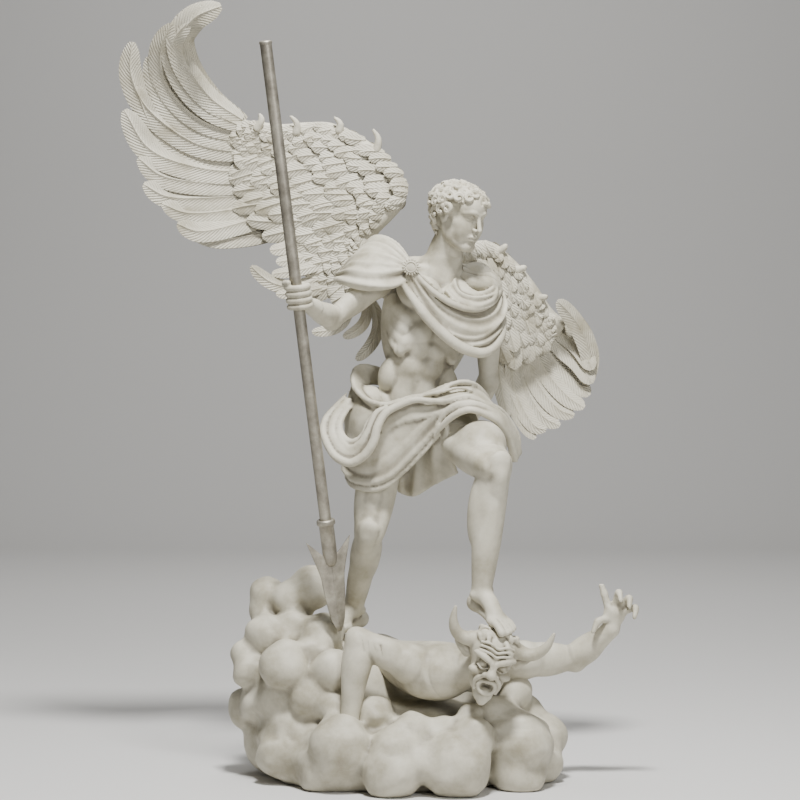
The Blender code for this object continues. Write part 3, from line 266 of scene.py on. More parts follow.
def skin(name, points, faces, slot, hollow=None):
    faces = facedOut(points, faces)
    mesh = bpy.data.meshes.new(name)
    mesh.vertices.add(len(points))
    mesh.vertices.foreach_set("co", np.asarray(points, np.float32).ravel())
    corners = faces.shape[1]
    mesh.loops.add(faces.size)
    mesh.loops.foreach_set("vertex_index", np.asarray(faces, np.int32).ravel())
    mesh.polygons.add(len(faces))
    mesh.polygons.foreach_set("loop_start", np.arange(0, faces.size, corners, dtype=np.int32))
    mesh.update(calc_edges=True)
    mesh.polygons.foreach_set("use_smooth", np.ones(len(faces), bool))
    values = hollowness(np.asarray(points, float), faces) if hollow is None else hollow
    mesh.attributes.new("hollow", "FLOAT", "POINT").data.foreach_set("value",
        np.asarray(values, np.float32))
    piece = newObject(name, mesh)
    mesh.materials.append(finishes[slot])
    stage(f"{name}: {len(faces) * (corners - 2)} triangles")
    return piece


def settle(piece, slot="stone", *nodes):
    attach(piece, "root")
    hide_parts(*nodes)


# Finishes
def node(tree, kind, *plugs, **settings):
    # plugs fill the inputs in order; settings are options in small letters, or inputs by name
    made = tree.nodes.new(kind)
    options = {key: value for key, value in settings.items() if key[0].islower()}
    for key, value in options.items():
        setattr(made, key, value)
    for key, value in [*enumerate(plugs), *settings.items()]:
        if key in options:
            continue
        if isinstance(value, bpy.types.NodeSocket):
            tree.links.new(value, made.inputs[key])
        else:
            made.inputs[key].default_value = value
    return made


def maths(tree, operation, *values):
    return node(tree, "ShaderNodeMath", *values, operation=operation).outputs[0]


def ranged(tree, value, start, end, low=0.0, high=1.0):
    # value from start to end, carried to low and high
    return node(tree, "ShaderNodeMapRange", value, start, end, low, high).outputs[0]


def noise(tree, place, scale, detail, roughness=0.5):
    return node(tree, "ShaderNodeTexNoise", Vector=place, Scale=scale, Detail=detail,
        Roughness=roughness).outputs["Fac"]


def tinted(tree, share, base, colour):
    made = node(tree, "ShaderNodeMix", data_type="RGBA", Factor=share)
    tree.links.new(base, made.inputs[6])
    made.inputs[7].default_value = (*colour, 1)
    return made.outputs[2]


def ramp(tree, source, *stops):
    made = tree.nodes.new("ShaderNodeValToRGB")
    tree.links.new(source, made.inputs["Fac"])
    bar = made.color_ramp.elements
    while len(bar) < len(stops):
        bar.new(0.5)
    for element, (place, colour) in zip(bar, stops):
        element.position = place
        element.color = (*colour, 1) if len(colour) == 3 else colour
    return made.outputs["Color"]


# crevice is the dark put in the hollows (patina and painted shade) and in the barb grooves (painted
# shade)
marble = dict(paleStone=(0.49, 0.46, 0.365), warmStone=(0.31, 0.28, 0.2), dust=(0.62, 0.59, 0.485),
    crevice=(0.15, 0.132, 0.095), creviceDepth=1.7, ridgeLight=0.2, roughness=0.55, mottleScale=7.0,
    grainScale=160.0, pitScale=46.0, bump=0.22)


def blankFinish(name):
    finish = bpy.data.materials.new(name)
    finish.use_nodes = True
    finish.node_tree.nodes.clear()
    return finish, finish.node_tree


def surface(tree, colour, rough, height, relief, distance, **settings):
    bump = node(tree, "ShaderNodeBump", Height=height, Strength=relief, Distance=distance)
    shader = node(tree, "ShaderNodeBsdfPrincipled", colour, Roughness=rough, Normal=bump.outputs[0],
        **settings)
    node(tree, "ShaderNodeOutputMaterial", Surface=shader.outputs[0])


def marbleFinish(name="agedMarble", look=marble, barbs=False):
    finish, tree = blankFinish(name)
    place = node(tree, "ShaderNodeTexCoord").outputs["Object"]
    mottle = noise(tree, place, look["mottleScale"], 6.0, 0.62)
    fine = noise(tree, place, look["grainScale"], 3.0, 0.7)
    broken = noise(tree, place, 24.0, 4.0)
    hollow = node(tree, "ShaderNodeAttribute", attribute_name="hollow").outputs["Fac"]
    stone = ramp(tree, mottle, (0.3, look["warmStone"]), (0.52, look["paleStone"]), (0.75, look["dust"]))
    # dark patina in the hollows, partly painted shade, broken up by noise; lighter on the ridges
    grimeAndShade = maths(tree, "MULTIPLY_ADD", broken, 1.1, hollow)
    stone = tinted(tree, ranged(tree, grimeAndShade, 0.62, 0.55 + look["creviceDepth"], 0.0, 0.86), stone,
        look["crevice"])
    stone = tinted(tree, ranged(tree, hollow, -0.3, -2.0, 0.0, look["ridgeLight"]), stone, look["dust"])
    pits = node(tree, "ShaderNodeTexVoronoi", Vector=place, Scale=look["pitScale"]).outputs["Distance"]
    height = maths(tree, "MULTIPLY_ADD", fine, 0.5, ranged(tree, pits, 0.05, 0.22))
    rough = ranged(tree, mottle, 0.0, 1.0, look["roughness"] - 0.1, look["roughness"] + 0.16)
    if barbs:
        # slanting lines on both sides of the rachis, worn away in patches
        vane = node(tree, "ShaderNodeAttribute", attribute_name="vane").outputs["Vector"]
        part = node(tree, "ShaderNodeSeparateXYZ", Vector=vane).outputs
        across = maths(tree, "ABSOLUTE", part["X"])
        slant = maths(tree, "MULTIPLY_ADD", across, -1.7, part["Y"])
        turns = maths(tree, "MULTIPLY", slant, 2 * math.pi / look["barbStep"])
        wave = maths(tree, "SINE", maths(tree, "MULTIPLY_ADD", broken, 3.0, turns))
        faded = maths(tree, "MULTIPLY", ranged(tree, across, 0.001, 0.005, 0.0, 0.85),
            ranged(tree, mottle, 0.36, 0.62, 0.25, 1.0))
        combed = maths(tree, "MULTIPLY", wave, faded)
        height = maths(tree, "MULTIPLY_ADD", combed, look["barbDepth"], height)
        # the grooves between the barbs are darkened with the crevice colour: painted shade
        stone = tinted(tree, ranged(tree, combed, -0.1, -1.0, 0.0, 0.3), stone, look["crevice"])
    surface(tree, stone, rough, height, look["bump"], 0.0016, **{"Specular IOR Level": 0.42})
    return finish


metal = dict(dark=(0.2, 0.18, 0.145), middle=(0.33, 0.305, 0.25), pale=(0.48, 0.45, 0.37), bump=0.25)


def metalFinish(name="weatheredMetal", look=metal):
    finish, tree = blankFinish(name)
    place = node(tree, "ShaderNodeTexCoord").outputs["Object"]
    cloud = noise(tree, place, 18.0, 6.0, 0.65)
    colour = ramp(tree, cloud, (0.3, look["dark"]), (0.52, look["middle"]), (0.72, look["pale"]))
    rough = ranged(tree, cloud, 0.0, 1.0, 0.34, 0.62)
    surface(tree, colour, rough, noise(tree, place, 120.0, 4.0), look["bump"], 0.001, Metallic=0.75)
    return finish


feather = dict(marble, barbStep=0.0185, barbDepth=1.1, bump=0.75)
finishes = {"stone": marbleFinish(), "feather": marbleFinish("featherMarble", feather, barbs=True),
    "lance_metal": metalFinish()}

figure = dict(bodyGrain=0.0064, headGrain=0.0025, fistGrain=0.003, headTurn=43, headNod=21)

# Joints of the archangel
head = at(0.238, -0.085, 2.187)
neckPit = at(0.156, -0.056, 1.942)
neckRoot = at(0.142, 0.03, 1.975)
chest = at(0.118, 0.0, 1.8)
pelvis = at(0.045, 0.03, 1.425)
shoulderR, shoulderL = at(-0.058, -0.03, 1.955), at(0.338, 0.08, 1.872)
elbowR, elbowL = at(-0.262, -0.15, 1.778), at(0.352, 0.15, 1.545)
wristL = at(0.292, 0.3, 1.4)
hipR, hipL = at(-0.045, 0.04, 1.39), at(0.135, 0.035, 1.372)
kneeR, kneeL = at(-0.118, -0.02, 0.965), at(0.352, -0.345, 1.222)
ankleR, ankleL = at(-0.185, 0.165, 0.64), at(0.306, -0.3, 0.745)
heelR, heelL = at(-0.16, 0.225, 0.59), at(0.288, -0.255, 0.7)
toesR, toesL = at(-0.27, 0.02, 0.56), at(0.405, -0.44, 0.612)
grip = at(-0.381, -0.4, 1.853)
lancePoint = at(-0.232, -0.15, 0.585)


def bodyFrames():
    frames = []
    for left, right, up in ((shoulderL, shoulderR, neckRoot - pelvis), (hipL, hipR, chest - pelvis)):
        z = unit(up)
        y = unit(np.cross(z, left - right))
        frames.append(np.array([np.cross(y, z), y, z]).T)
    return frames


chestTurn, hipTurn = bodyFrames()


def trunk(x, y, z):
    # a place on an upright trunk, chest at 0, carried to the turned and bent one
    share = min(1.0, max(0.0, (z + 0.3) / 0.2))
    share = share * share * (3 - 2 * share)
    return mix(pelvis + hipTurn @ at(x, y, z + 0.385), chest + chestTurn @ at(x, y, z), share)


def carveTrunk(clay):
    up, front = chestTurn[:, 2], -chestTurn[:, 1]
    low, ahead = hipTurn[:, 2], -hipTurn[:, 1]
    clay.egg(trunk(0, 0.012, 0.005), (0.15, 0.104, 0.2), up, front, 0.02)
    clay.egg(trunk(0, 0.02, 0.112), (0.168, 0.08, 0.074), up, front, 0.03)
    clay.egg(trunk(0, 0.012, -0.19), (0.13, 0.086, 0.165), up, front, 0.03)
    clay.egg(trunk(0, 0.02, -0.37), (0.155, 0.104, 0.112), low, ahead, 0.03)
    for side in (-1, 1):
        clay.muscle(trunk(side * 0.03, 0.05, 0.2), trunk(side * 0.17, 0.03, 0.15), 0.045, 0.04, up,
            melt=0.02)
        clay.muscle(trunk(side * 0.16, 0.035, 0.075), trunk(side * 0.112, 0.045, -0.21), 0.042, 0.066,
            front, melt=0.014)
        clay.egg(trunk(side * 0.08, -0.07, 0.078), (0.084, 0.042, 0.064), up,
            unit(front + side * 0.3 * chestTurn[:, 0]), 0.018)
        clay.muscle(trunk(side * 0.03, -0.078, 0.038), trunk(side * 0.155, -0.04, 0.094), 0.04, 0.032,
            front, melt=0.02)
        clay.egg(trunk(side * 0.1, -0.106, 0.046), 0.0065, melt=0.008)
        clay.muscle(trunk(side * 0.026, -0.052, 0.168), trunk(side * 0.15, -0.016, 0.186), 0.011, 0.01,
            front, melt=0.024)
        for deep, tall, drop in ((-0.06, 0.036, -0.078), (-0.056, 0.036, -0.14), (-0.053, 0.038, -0.205)):
            clay.egg(trunk(side * 0.038, deep + 0.002, drop), (0.04, 0.031, tall * 1.06), up,
                unit(front + side * 0.25 * chestTurn[:, 0]), 0.02)
        clay.egg(trunk(side * 0.04, -0.046, -0.305), (0.05, 0.034, 0.085), up, front, 0.016)
        for rib in range(4):
            clay.muscle(trunk(side * 0.146, -0.004, 0.016 - 0.043 * rib),
                trunk(side * (0.108 - 0.003 * rib), -0.064, -0.032 - 0.045 * rib), 0.018, 0.0115, front,
                melt=0.026)
        clay.muscle(trunk(side * 0.022, -0.088, -0.04), trunk(side * 0.1, -0.064, -0.14), 0.016, 0.008,
            front, melt=0.03)
        clay.egg(trunk(side * 0.112, -0.012, -0.262), (0.046, 0.062, 0.07), low, ahead, 0.014)
        clay.muscle(trunk(side * 0.134, -0.03, -0.325), trunk(side * 0.05, -0.085, -0.425), 0.02, 0.02,
            ahead, melt=0.012)
        clay.muscle(trunk(side * 0.045, 0.08, 0.11), trunk(side * 0.04, 0.078, -0.3), 0.036, 0.032, front,
            melt=0.014)
        clay.egg(trunk(side * 0.105, 0.088, 0.075), (0.055, 0.03, 0.08), up, front, 0.016)
        clay.egg(trunk(side * 0.08, 0.085, -0.425), (0.08, 0.075, 0.092), low, ahead, 0.016)
    clay.egg(trunk(0, -0.012, 0.135), (0.11, 0.05, 0.055), up, front, 0.03)
    clay.rope([trunk(0, -0.116, 0.125), trunk(0, -0.116, 0.05), trunk(0, -0.108, -0.02),
        trunk(0, -0.1, -0.1), trunk(0, -0.098, -0.2)], [0.01, 0.01, 0.008, 0.006, 0.005], melt=0.014,
        hollow=True)
    clay.egg(trunk(0, -0.092, -0.262), (0.007, 0.012, 0.009), melt=0.008, hollow=True)
    clay.rope([neckRoot - at(0, 0, 0.06), mix(neckRoot, head, 0.42), mix(neckRoot, head, 0.9)],
        [0.084, 0.064, 0.052], [0.076, 0.062, 0.052], melt=0.03)
    for side, ear in ((-1, headPoint(-0.05, 0.01, -0.05)), (1, headPoint(0.05, 0.01, -0.05))):
        clay.rope([neckPit + at(side * 0.016, 0.012, 0), mix(neckPit, ear, 0.5)
            + at(side * 0.002, 0.012, 0), ear], [0.01, 0.016, 0.022], melt=0.04)
    clay.egg(at(0.302, 0.05, 1.952), (0.066, 0.062, 0.058), melt=0.03)


headTurn = np.array(Matrix.Rotation(math.radians(figure["headTurn"]), 3, "Z")
    @ Matrix.Rotation(math.radians(figure["headNod"]), 3, "X"))


def headPoint(x, y, z):
    return head + headTurn @ at(x, y, z)


def carveArm(clay, shoulder, elbow, wrist, back, girth=1.0, melt=0.009):
    upper, lower = elbow - shoulder, wrist - elbow
    g = girth
    side = unit(np.cross(upper, back))
    clay.rope([shoulder, mix(shoulder, elbow, 0.45), elbow], [0.054 * g, 0.045 * g, 0.037 * g], melt=0.02)
    clay.muscle(mix(shoulder, elbow, -0.14), mix(shoulder, elbow, 0.48), 0.062 * g, 0.058 * g, back,
        melt=melt)
    clay.muscle(mix(shoulder, elbow, 0.2) - back * 0.024 * g, mix(shoulder, elbow, 0.97) - back * 0.013
        * g, 0.036 * g, 0.034 * g, back, melt=melt)
    for way in (-1, 1):
        clay.muscle(mix(shoulder, elbow, 0.12) + back * 0.02 * g + side * way * 0.018 * g,
            mix(shoulder, elbow, 0.86) + back * 0.014 * g + side * way * 0.012 * g, 0.03 * g, 0.032 * g,
            back, melt=melt)
    clay.egg(elbow + back * 0.02 * g, 0.024 * g, melt=0.014)
    clay.rope([elbow, elbow + lower * 0.3, elbow + lower * 0.7, wrist],
        [0.037 * g, 0.042 * g, 0.032 * g, 0.026 * g], melt=0.016)
    clay.muscle(elbow - upper * 0.14, elbow + lower * 0.6, 0.03 * g, 0.036 * g, side, melt=melt)
    clay.muscle(elbow - side * 0.02 * g, elbow + lower * 0.66 - side * 0.006 * g, 0.03 * g, 0.034 * g,
        back, melt=melt)
    clay.muscle(elbow + back * 0.016 * g, elbow + lower * 0.75 + back * 0.008 * g, 0.022 * g, 0.026 * g,
        back, melt=melt)


def carveLeg(clay, hip, knee, ankle, bend, outer, big, joint, calf, thin, root=0.94):
    thigh, shank = knee - hip, ankle - knee
    down = unit(shank)
    side = unit(np.cross(thigh, bend)) * outer
    clay.rope([hip, mix(hip, knee, 0.35), mix(hip, knee, 0.72), knee], [big * root,
        big * min(root + 0.14, 0.84), mix(big, joint, 0.6) * 0.92, joint * 0.8], melt=0.02)
    clay.muscle(mix(hip, knee, 0.15) - bend * big * 0.36, mix(hip, knee, 0.95) - bend * big * 0.22,
        big * 0.6, big * 0.48, bend, melt=0.014)
    # front of the thigh: one long belly and two that hang over the knee
    clay.muscle(mix(hip, knee, 0.16) + bend * big * 0.44, mix(hip, knee, 0.86) + bend * big * 0.4,
        big * 0.4, big * 0.48, bend, melt=0.007)
    for way, drop in ((-1, 0.1), (1, 0.0)):
        clay.muscle(mix(hip, knee, 0.34) + side * way * big * 0.56 + bend * big * 0.14,
            mix(hip, knee, 0.97 + drop) + side * way * joint * 0.62 + bend * joint * 0.42, big * 0.32,
            big * 0.44, bend, melt=0.016)
    # kneecap with a dip above and one each side, then the tendon
    cap = knee + bend * joint * 0.98
    clay.egg(cap - bend * joint * 0.2, (joint * 0.54, joint * 0.28, joint * 0.6), shank, bend, 0.026)
    clay.muscle(cap + down * joint * 0.35, knee + bend * joint * 0.78 + down * joint * 1.25, joint * 0.36,
        joint * 0.24, bend, melt=0.018)
    clay.egg(knee + bend * joint * 0.76 + down * joint * 1.18, (joint * 0.28, joint * 0.22, joint * 0.34),
        shank, bend, 0.012)
    clay.egg(cap + bend * joint * 0.18 - down * joint * 0.66, (joint * 0.34, joint * 0.22, joint * 0.17),
        shank, bend, 0.012, True)
    for way in (-1, 1):
        clay.egg(cap + side * way * joint * 0.66 + down * joint * 0.22,
            (joint * 0.11, joint * 0.2, joint * 0.42), shank, bend, 0.016, True)
    clay.rope([knee, mix(knee, ankle, 0.28), mix(knee, ankle, 0.62), ankle], [joint * 0.8, calf * 0.8,
        mix(calf, thin, 0.6), thin * 0.92], melt=0.02)
    for way, low, full in ((-1, 0.6, 1.06), (1, 0.52, 0.98)):
        clay.muscle(mix(knee, ankle, 0.03) - bend * calf * 0.26 + side * way * calf * 0.46,
            mix(knee, ankle, low) - bend * calf * 0.36 + side * way * calf * 0.44, calf * 0.52 * full,
            calf * 0.7, bend, melt=0.007)
    clay.muscle(mix(knee, ankle, 0.08) + bend * calf * 0.42 + side * calf * 0.34, mix(knee, ankle, 0.82)
        + bend * thin * 0.52 + side * thin * 0.3, calf * 0.29, calf * 0.34, bend, melt=0.006)
    clay.rope([knee + bend * joint * 0.62 + down * joint, mix(knee, ankle, 0.38) + bend * calf * 0.66,
        mix(knee, ankle, 0.76) + bend * thin * 0.88, ankle + bend * thin * 0.7],
        [0.017, 0.014, 0.011, 0.012], melt=0.008)
    clay.rope([mix(knee, ankle, 0.55) - bend * calf * 0.55, mix(knee, ankle, 0.85) - bend * thin * 0.95,
        ankle - bend * thin * 0.95 + unit(shank) * thin * 0.8], [0.016, 0.011, 0.016], melt=0.01)
    for way in (-1, 1):
        clay.egg(ankle + side * way * thin * 0.84 + bend * thin * 0.05, thin * 0.44, melt=0.008)


def carveFoot(clay, ankle, heel, toes, outer):
    sole = toes - heel
    forward = unit(sole)
    up = at(0, 0, 1)
    side = unit(np.cross(sole, up)) * outer
    ball = mix(heel, toes, 0.7)
    clay.egg(heel + at(0, 0, 0.006), (0.034, 0.038, 0.034), up, forward, 0.016)
    clay.rope([ankle, mix(ankle, ball, 0.5) + up * 0.016, ball + up * 0.004], [0.034, 0.033, 0.03],
        [0.034, 0.03, 0.02], up, 0.016)
    clay.rope([heel, mix(heel, ball, 0.5) + side * 0.004, ball], [0.03, 0.034, 0.046],
        [0.028, 0.022, 0.018], up, 0.016)
    for out, back, thick in ((-0.034, 0.0, 0.015), (-0.011, 0.0, 0.0115), (0.008, -0.008, 0.011),
            (0.026, -0.018, 0.0105), (0.042, -0.032, 0.0105)):
        root = ball + side * out * 0.95 - forward * 0.014
        tip = toes + side * out * 1.02 + forward * back
        knuckle = mix(root, tip, 0.55) + up * 0.009
        clay.rope([root + up * 0.006, knuckle, tip - up * 0.004], [thick * 0.92, thick * 0.95, thick],
            melt=0.006)
        clay.rope([mix(ankle, root, 0.35) + up * 0.02, mix(ankle, root, 0.7) + up * 0.013,
            root + up * 0.01], [0.006, 0.006, 0.007], melt=0.01)


def makeBody():
    clay = Clay((-0.4, -0.52, 0.5), (0.5, 0.4, 2.13), figure["bodyGrain"])
    carveTrunk(clay)
    wrist = mix(elbowR, grip, 0.78)
    carveArm(clay, shoulderR, elbowR, wrist, unit(at(-0.3, 0.5, -0.8)))
    carveArm(clay, shoulderL, elbowL, wristL, unit(at(0.5, 0.8, -0.2)))
    clay.egg(wristL + at(-0.02, 0.01, -0.03), (0.038, 0.026, 0.05), melt=0.014)
    carveLeg(clay, hipR, kneeR, ankleR, unit(at(-0.1, -0.98, 0)), 1, 0.096, 0.07, 0.062, 0.04)
    clay.egg(drawn(481, 446, -0.225), (0.098, 0.095, 0.098), melt=0.02)
    carveLeg(clay, hipL, kneeL, ankleL, unit(at(0.36, -0.88, 0.2)), -1, 0.106, 0.08, 0.077, 0.04, 0.56)
    carveFoot(clay, ankleR, heelR, toesR, 1)
    carveFoot(clay, ankleL, heelL, toesL, -1)
    settle(clay.mesh("archangelBody"), "stone", "archangel_group")


curls = dict(tries=560, gap=0.029, coil=0.0178, turns=0.92, lock=0.0118, lift=0.013, seed=7)


def makeHead():
    # carved upright in its own small block, then turned to its place; a plain classical face
    clay = Clay((-0.15, -0.17, -0.165), (0.15, 0.18, 0.19), figure["headGrain"])
    clay.eggs(((0, 0.012, 0.03), (0.078, 0.096, 0.08), 0.02),
        ((0, -0.034, -0.026), (0.062, 0.059, 0.09), 0.03),
        ((0, -0.044, 0.046), (0.06, 0.048, 0.044), 0.03),
        ((0, -0.046, -0.078), (0.043, 0.042, 0.036), 0.02),
        ((0, -0.077, -0.108), (0.023, 0.018, 0.018), 0.014))
    for side in (-1, 1):
        clay.rope(beside(side, (0.06, 0.006, -0.05), (0.05, -0.028, -0.088), (0.02, -0.07, -0.11)),
            [0.02, 0.019, 0.014], melt=0.02)
        clay.eggs(((0.053, -0.014, -0.055), (0.02, 0.036, 0.044), 0.02),
            ((0.047, -0.05, -0.02), (0.02, 0.019, 0.018), 0.02),
            ((0.037, -0.06, -0.048), (0.025, 0.022, 0.032), 0.02), side=side)
        clay.egg(at(side * 0.031, -0.0985, 0.0075), (0.022, 0.0205, 0.0145), melt=0.006, hollow=True)
        clay.rope(beside(side, (0.01, -0.091, 0.026), (0.03, -0.089, 0.032), (0.054, -0.066, 0.024)),
            [0.008, 0.0085, 0.007], melt=0.008)
        clay.egg(at(side * 0.031, -0.0705, 0.008), 0.0146, melt=0.001)
        clay.rope(beside(side, (0.015, -0.08, 0.005), (0.024, -0.085, 0.0145), (0.034, -0.0845, 0.0155),
            (0.047, -0.0735, 0.006)), [0.0024, 0.004, 0.004, 0.0026], melt=0.0015)
        clay.rope(beside(side, (0.0155, -0.08, 0.004), (0.027, -0.0835, -0.001),
            (0.038, -0.0805, -0.0005), (0.0465, -0.0735, 0.005)), [0.002, 0.0028, 0.0028, 0.002],
            melt=0.0015)
        clay.rope(beside(side, (0.016, -0.085, 0.011), (0.0245, -0.0905, 0.02), (0.035, -0.0895, 0.0205),
            (0.048, -0.078, 0.011)), [0.0016, 0.0026, 0.0026, 0.0016], melt=0.001, hollow=True)
        clay.rope(beside(side, (0.0165, -0.085, 0.005), (0.025, -0.0885, 0.0072),
            (0.035, -0.0875, 0.0075), (0.0455, -0.078, 0.0058)), [0.002, 0.003, 0.003, 0.0018],
            melt=0.001, hollow=True)
        clay.rope(beside(side, (0.019, -0.088, -0.004), (0.029, -0.088, -0.0075),
            (0.042, -0.081, -0.004)), [0.0012, 0.002, 0.0012], melt=0.002, hollow=True)
    clay.rope([at(0, -0.086, 0.026), at(0, -0.098, 0.006), at(0, -0.1115, -0.02), at(0, -0.1165, -0.029)],
        [0.0098, 0.008, 0.0088, 0.0094], melt=0.008)
    for side in (-1, 1):
        clay.egg(at(side * 0.0108, -0.101, -0.0335), (0.0074, 0.0098, 0.007), melt=0.004)
        clay.egg(at(side * 0.0068, -0.1065, -0.0405), (0.0036, 0.006, 0.0034), melt=0.002, hollow=True)
        clay.rope(beside(side, (0.0015, -0.0975, -0.0625), (0.008, -0.097, -0.061),
            (0.023, -0.0845, -0.0675)), [0.0052, 0.005, 0.0024], melt=0.005)
    clay.egg(at(0, -0.08, -0.066), (0.025, 0.013, 0.014), melt=0.012)
    clay.rope([at(-0.0165, -0.0885, -0.075), at(0, -0.0965, -0.0765), at(0.0165, -0.0885, -0.075)],
        [0.0038, 0.0062, 0.0038], melt=0.004)
    clay.rope([at(-0.0235, -0.085, -0.0685), at(-0.01, -0.0985, -0.0685), at(0, -0.101, -0.07),
        at(0.01, -0.0985, -0.0685), at(0.0235, -0.085, -0.0685)], 0.0021, melt=0.002, hollow=True)
    clay.eggs(((0, -0.104, -0.0535), (0.0035, 0.006, 0.0075), 0.006),
        ((0, -0.1, -0.089), (0.016, 0.008, 0.005), 0.01), hollow=True)
    clay.rope([at(0, 0.04, -0.04), at(0, 0.02, -0.11), at(0, 0.02, -0.16)], [0.062, 0.056, 0.056],
        [0.058, 0.056, 0.056], melt=0.02)
    for side in (-1, 1):
        ear = at(side * 0.078, 0.014, -0.01)
        clay.egg(ear, (0.009, 0.019, 0.029), melt=0.006)
        clay.egg(ear + at(side * 0.01, -0.003, 0.002), (0.006, 0.01, 0.017), melt=0.004, hollow=True)
    # hair: a cap, then locks that coil out of it, longest over the brow and at the nape
    rng = np.random.default_rng(curls["seed"])
    centre, scalp = at(0, 0.024, 0.029), at(0.103, 0.121, 0.082)
    clay.egg(centre + at(0, 0.014, 0.009), scalp * at(0.97, 0.88, 1.0), melt=0.006)
    clay.egg(at(0, 0.066, -0.044), (0.072, 0.054, 0.068), melt=0.02)
    placed = []
    for i in range(curls["tries"]):
        height = 1 - 1.8 * (i + 0.5) / curls["tries"]
        turn = i * math.radians(137.508) + rng.uniform(-0.2, 0.2)
        flat = math.sqrt(1 - height * height)
        way = at(flat * math.sin(turn), -flat * math.cos(turn), height)
        hairline = 0.3 - 0.16 * abs(way[0])
        if way[1] < -0.36 and way[2] < hairline + 0.15 or way[1] < 0.14 and way[2] < -0.2:
            continue
        low = min(0, way[2] + 0.1)
        spot = centre + scalp * way * (0.98 + 0.24 * low) + at(0, 0.004, 0.105) * low
        if any(np.linalg.norm(spot - other) < curls["gap"] for other in placed):
            continue
        placed.append(spot)
        out = unit(way / scalp)
        down = unit(at(0, -0.25, -1) - out * (at(0, -0.25, -1) @ out))
        side = np.cross(out, down)
        spin = 1 if rng.uniform() > 0.5 else -1
        size = curls["coil"] * rng.uniform(0.85, 1.15) * (1.2 if way[1] < -0.5 else 1.0)
        steps = np.linspace(0, 1, 10)
        begin = rng.uniform(-0.9, 0.9) + (math.pi if spin > 0 else 0)
        angle = begin + spin * 2 * math.pi * curls["turns"] * steps
        radius = size * (1 - 0.55 * steps ** 1.4)
        path = [spot + r * (math.cos(a) * side + math.sin(a) * down) + out * (curls["lift"] * k - 0.002)
            for a, r, k in zip(angle, radius, steps)]
        thick = curls["lock"] * rng.uniform(0.9, 1.12)
        taper = thick * np.minimum(1, 0.55 + 2.2 * steps) * (1 - 0.35 * steps)
        clay.rope(path, taper, taper * 1.15, out, melt=0.0025, count=19)
        for strand in (-0.35, 0.35):
            groove = [point + out * t * 1.1 + unit(point - spot) * strand * t for point,
                t in zip(path, taper)]
            clay.rope(groove, 0.0022, melt=0.0025, hollow=True, count=19)
    piece = clay.mesh("archangelHead", (headTurn, head))
    settle(piece, "stone", "archangel_group")


lance = dict(shaftDiameter=0.044, shaftLength=1.905, headLength=0.37, socketWall=0.006, socketDepth=0.1,
    collarWall=0.007, collarLength=0.022, barbSpan=0.175, bladeThickness=0.026, pointWidth=0.014,
    rimWall=0.002, socketGap=0.0004)
lanceAxis = unit(grip - lancePoint)


def makeFist():
    clay = Clay(grip - 0.15, grip + at(0.21, 0.2, 0.13), figure["fistGrain"])
    axis = lanceAxis
    arm = unit((elbowR - grip) - axis * ((elbowR - grip) @ axis))
    across = np.cross(axis, arm)
    reach = lance["shaftDiameter"] / 2 + 0.0115

    def around(turn, height, out=0.0):
        turn = math.radians(turn)
        return grip + (arm * math.cos(turn) + across * math.sin(turn)) * (reach + out) + axis * height

    clay.rope([mix(elbowR, grip, 0.52), mix(elbowR, grip, 0.7), mix(elbowR, grip, 0.84)],
        [0.036, 0.029, 0.027], [0.036, 0.026, 0.024], axis, melt=0.01)
    clay.rope([mix(elbowR, grip, 0.8), around(10, 0.002, 0.02), around(-30, 0.004, 0.004)],
        [0.027, 0.04, 0.04], [0.024, 0.022, 0.017], across, melt=0.014)
    clay.egg(around(-10, 0.0, 0.012), (0.022, 0.024, 0.044), axis, arm, 0.014)
    for n in range(4):
        level = 0.036 - 0.024 * n
        thick = 0.0122 - 0.0009 * (n == 3)
        clay.rope([around(-8, level * 0.8, 0.016), around(-42, level * 0.92, 0.013),
            around(-62, level, 0.007)], [0.0095, 0.01, thick], melt=0.01)
        clay.rope([around(-56, level, 0.008), around(-95, level, 0.004),
            around(-135, level + 0.001, 0.0045), around(-172, level + 0.002, 0.001),
            around(-215, level + 0.003, 0.003), around(-245, level + 0.003, -0.001),
            around(-272, level + 0.003, -0.002)], [thick, thick * 0.98, thick * 1.02, thick * 0.92,
            thick * 0.97, thick * 0.85, thick * 0.8], melt=0.004)
    clay.rope([around(18, 0.004, 0.02), around(48, 0.026, 0.014), around(82, 0.044, 0.01),
        around(122, 0.056, 0.006), around(158, 0.06, 0.003)], [0.018, 0.0165, 0.0135, 0.013, 0.0105],
        melt=0.01)
    settle(clay.mesh("lanceFist"), "stone", "archangel_group")


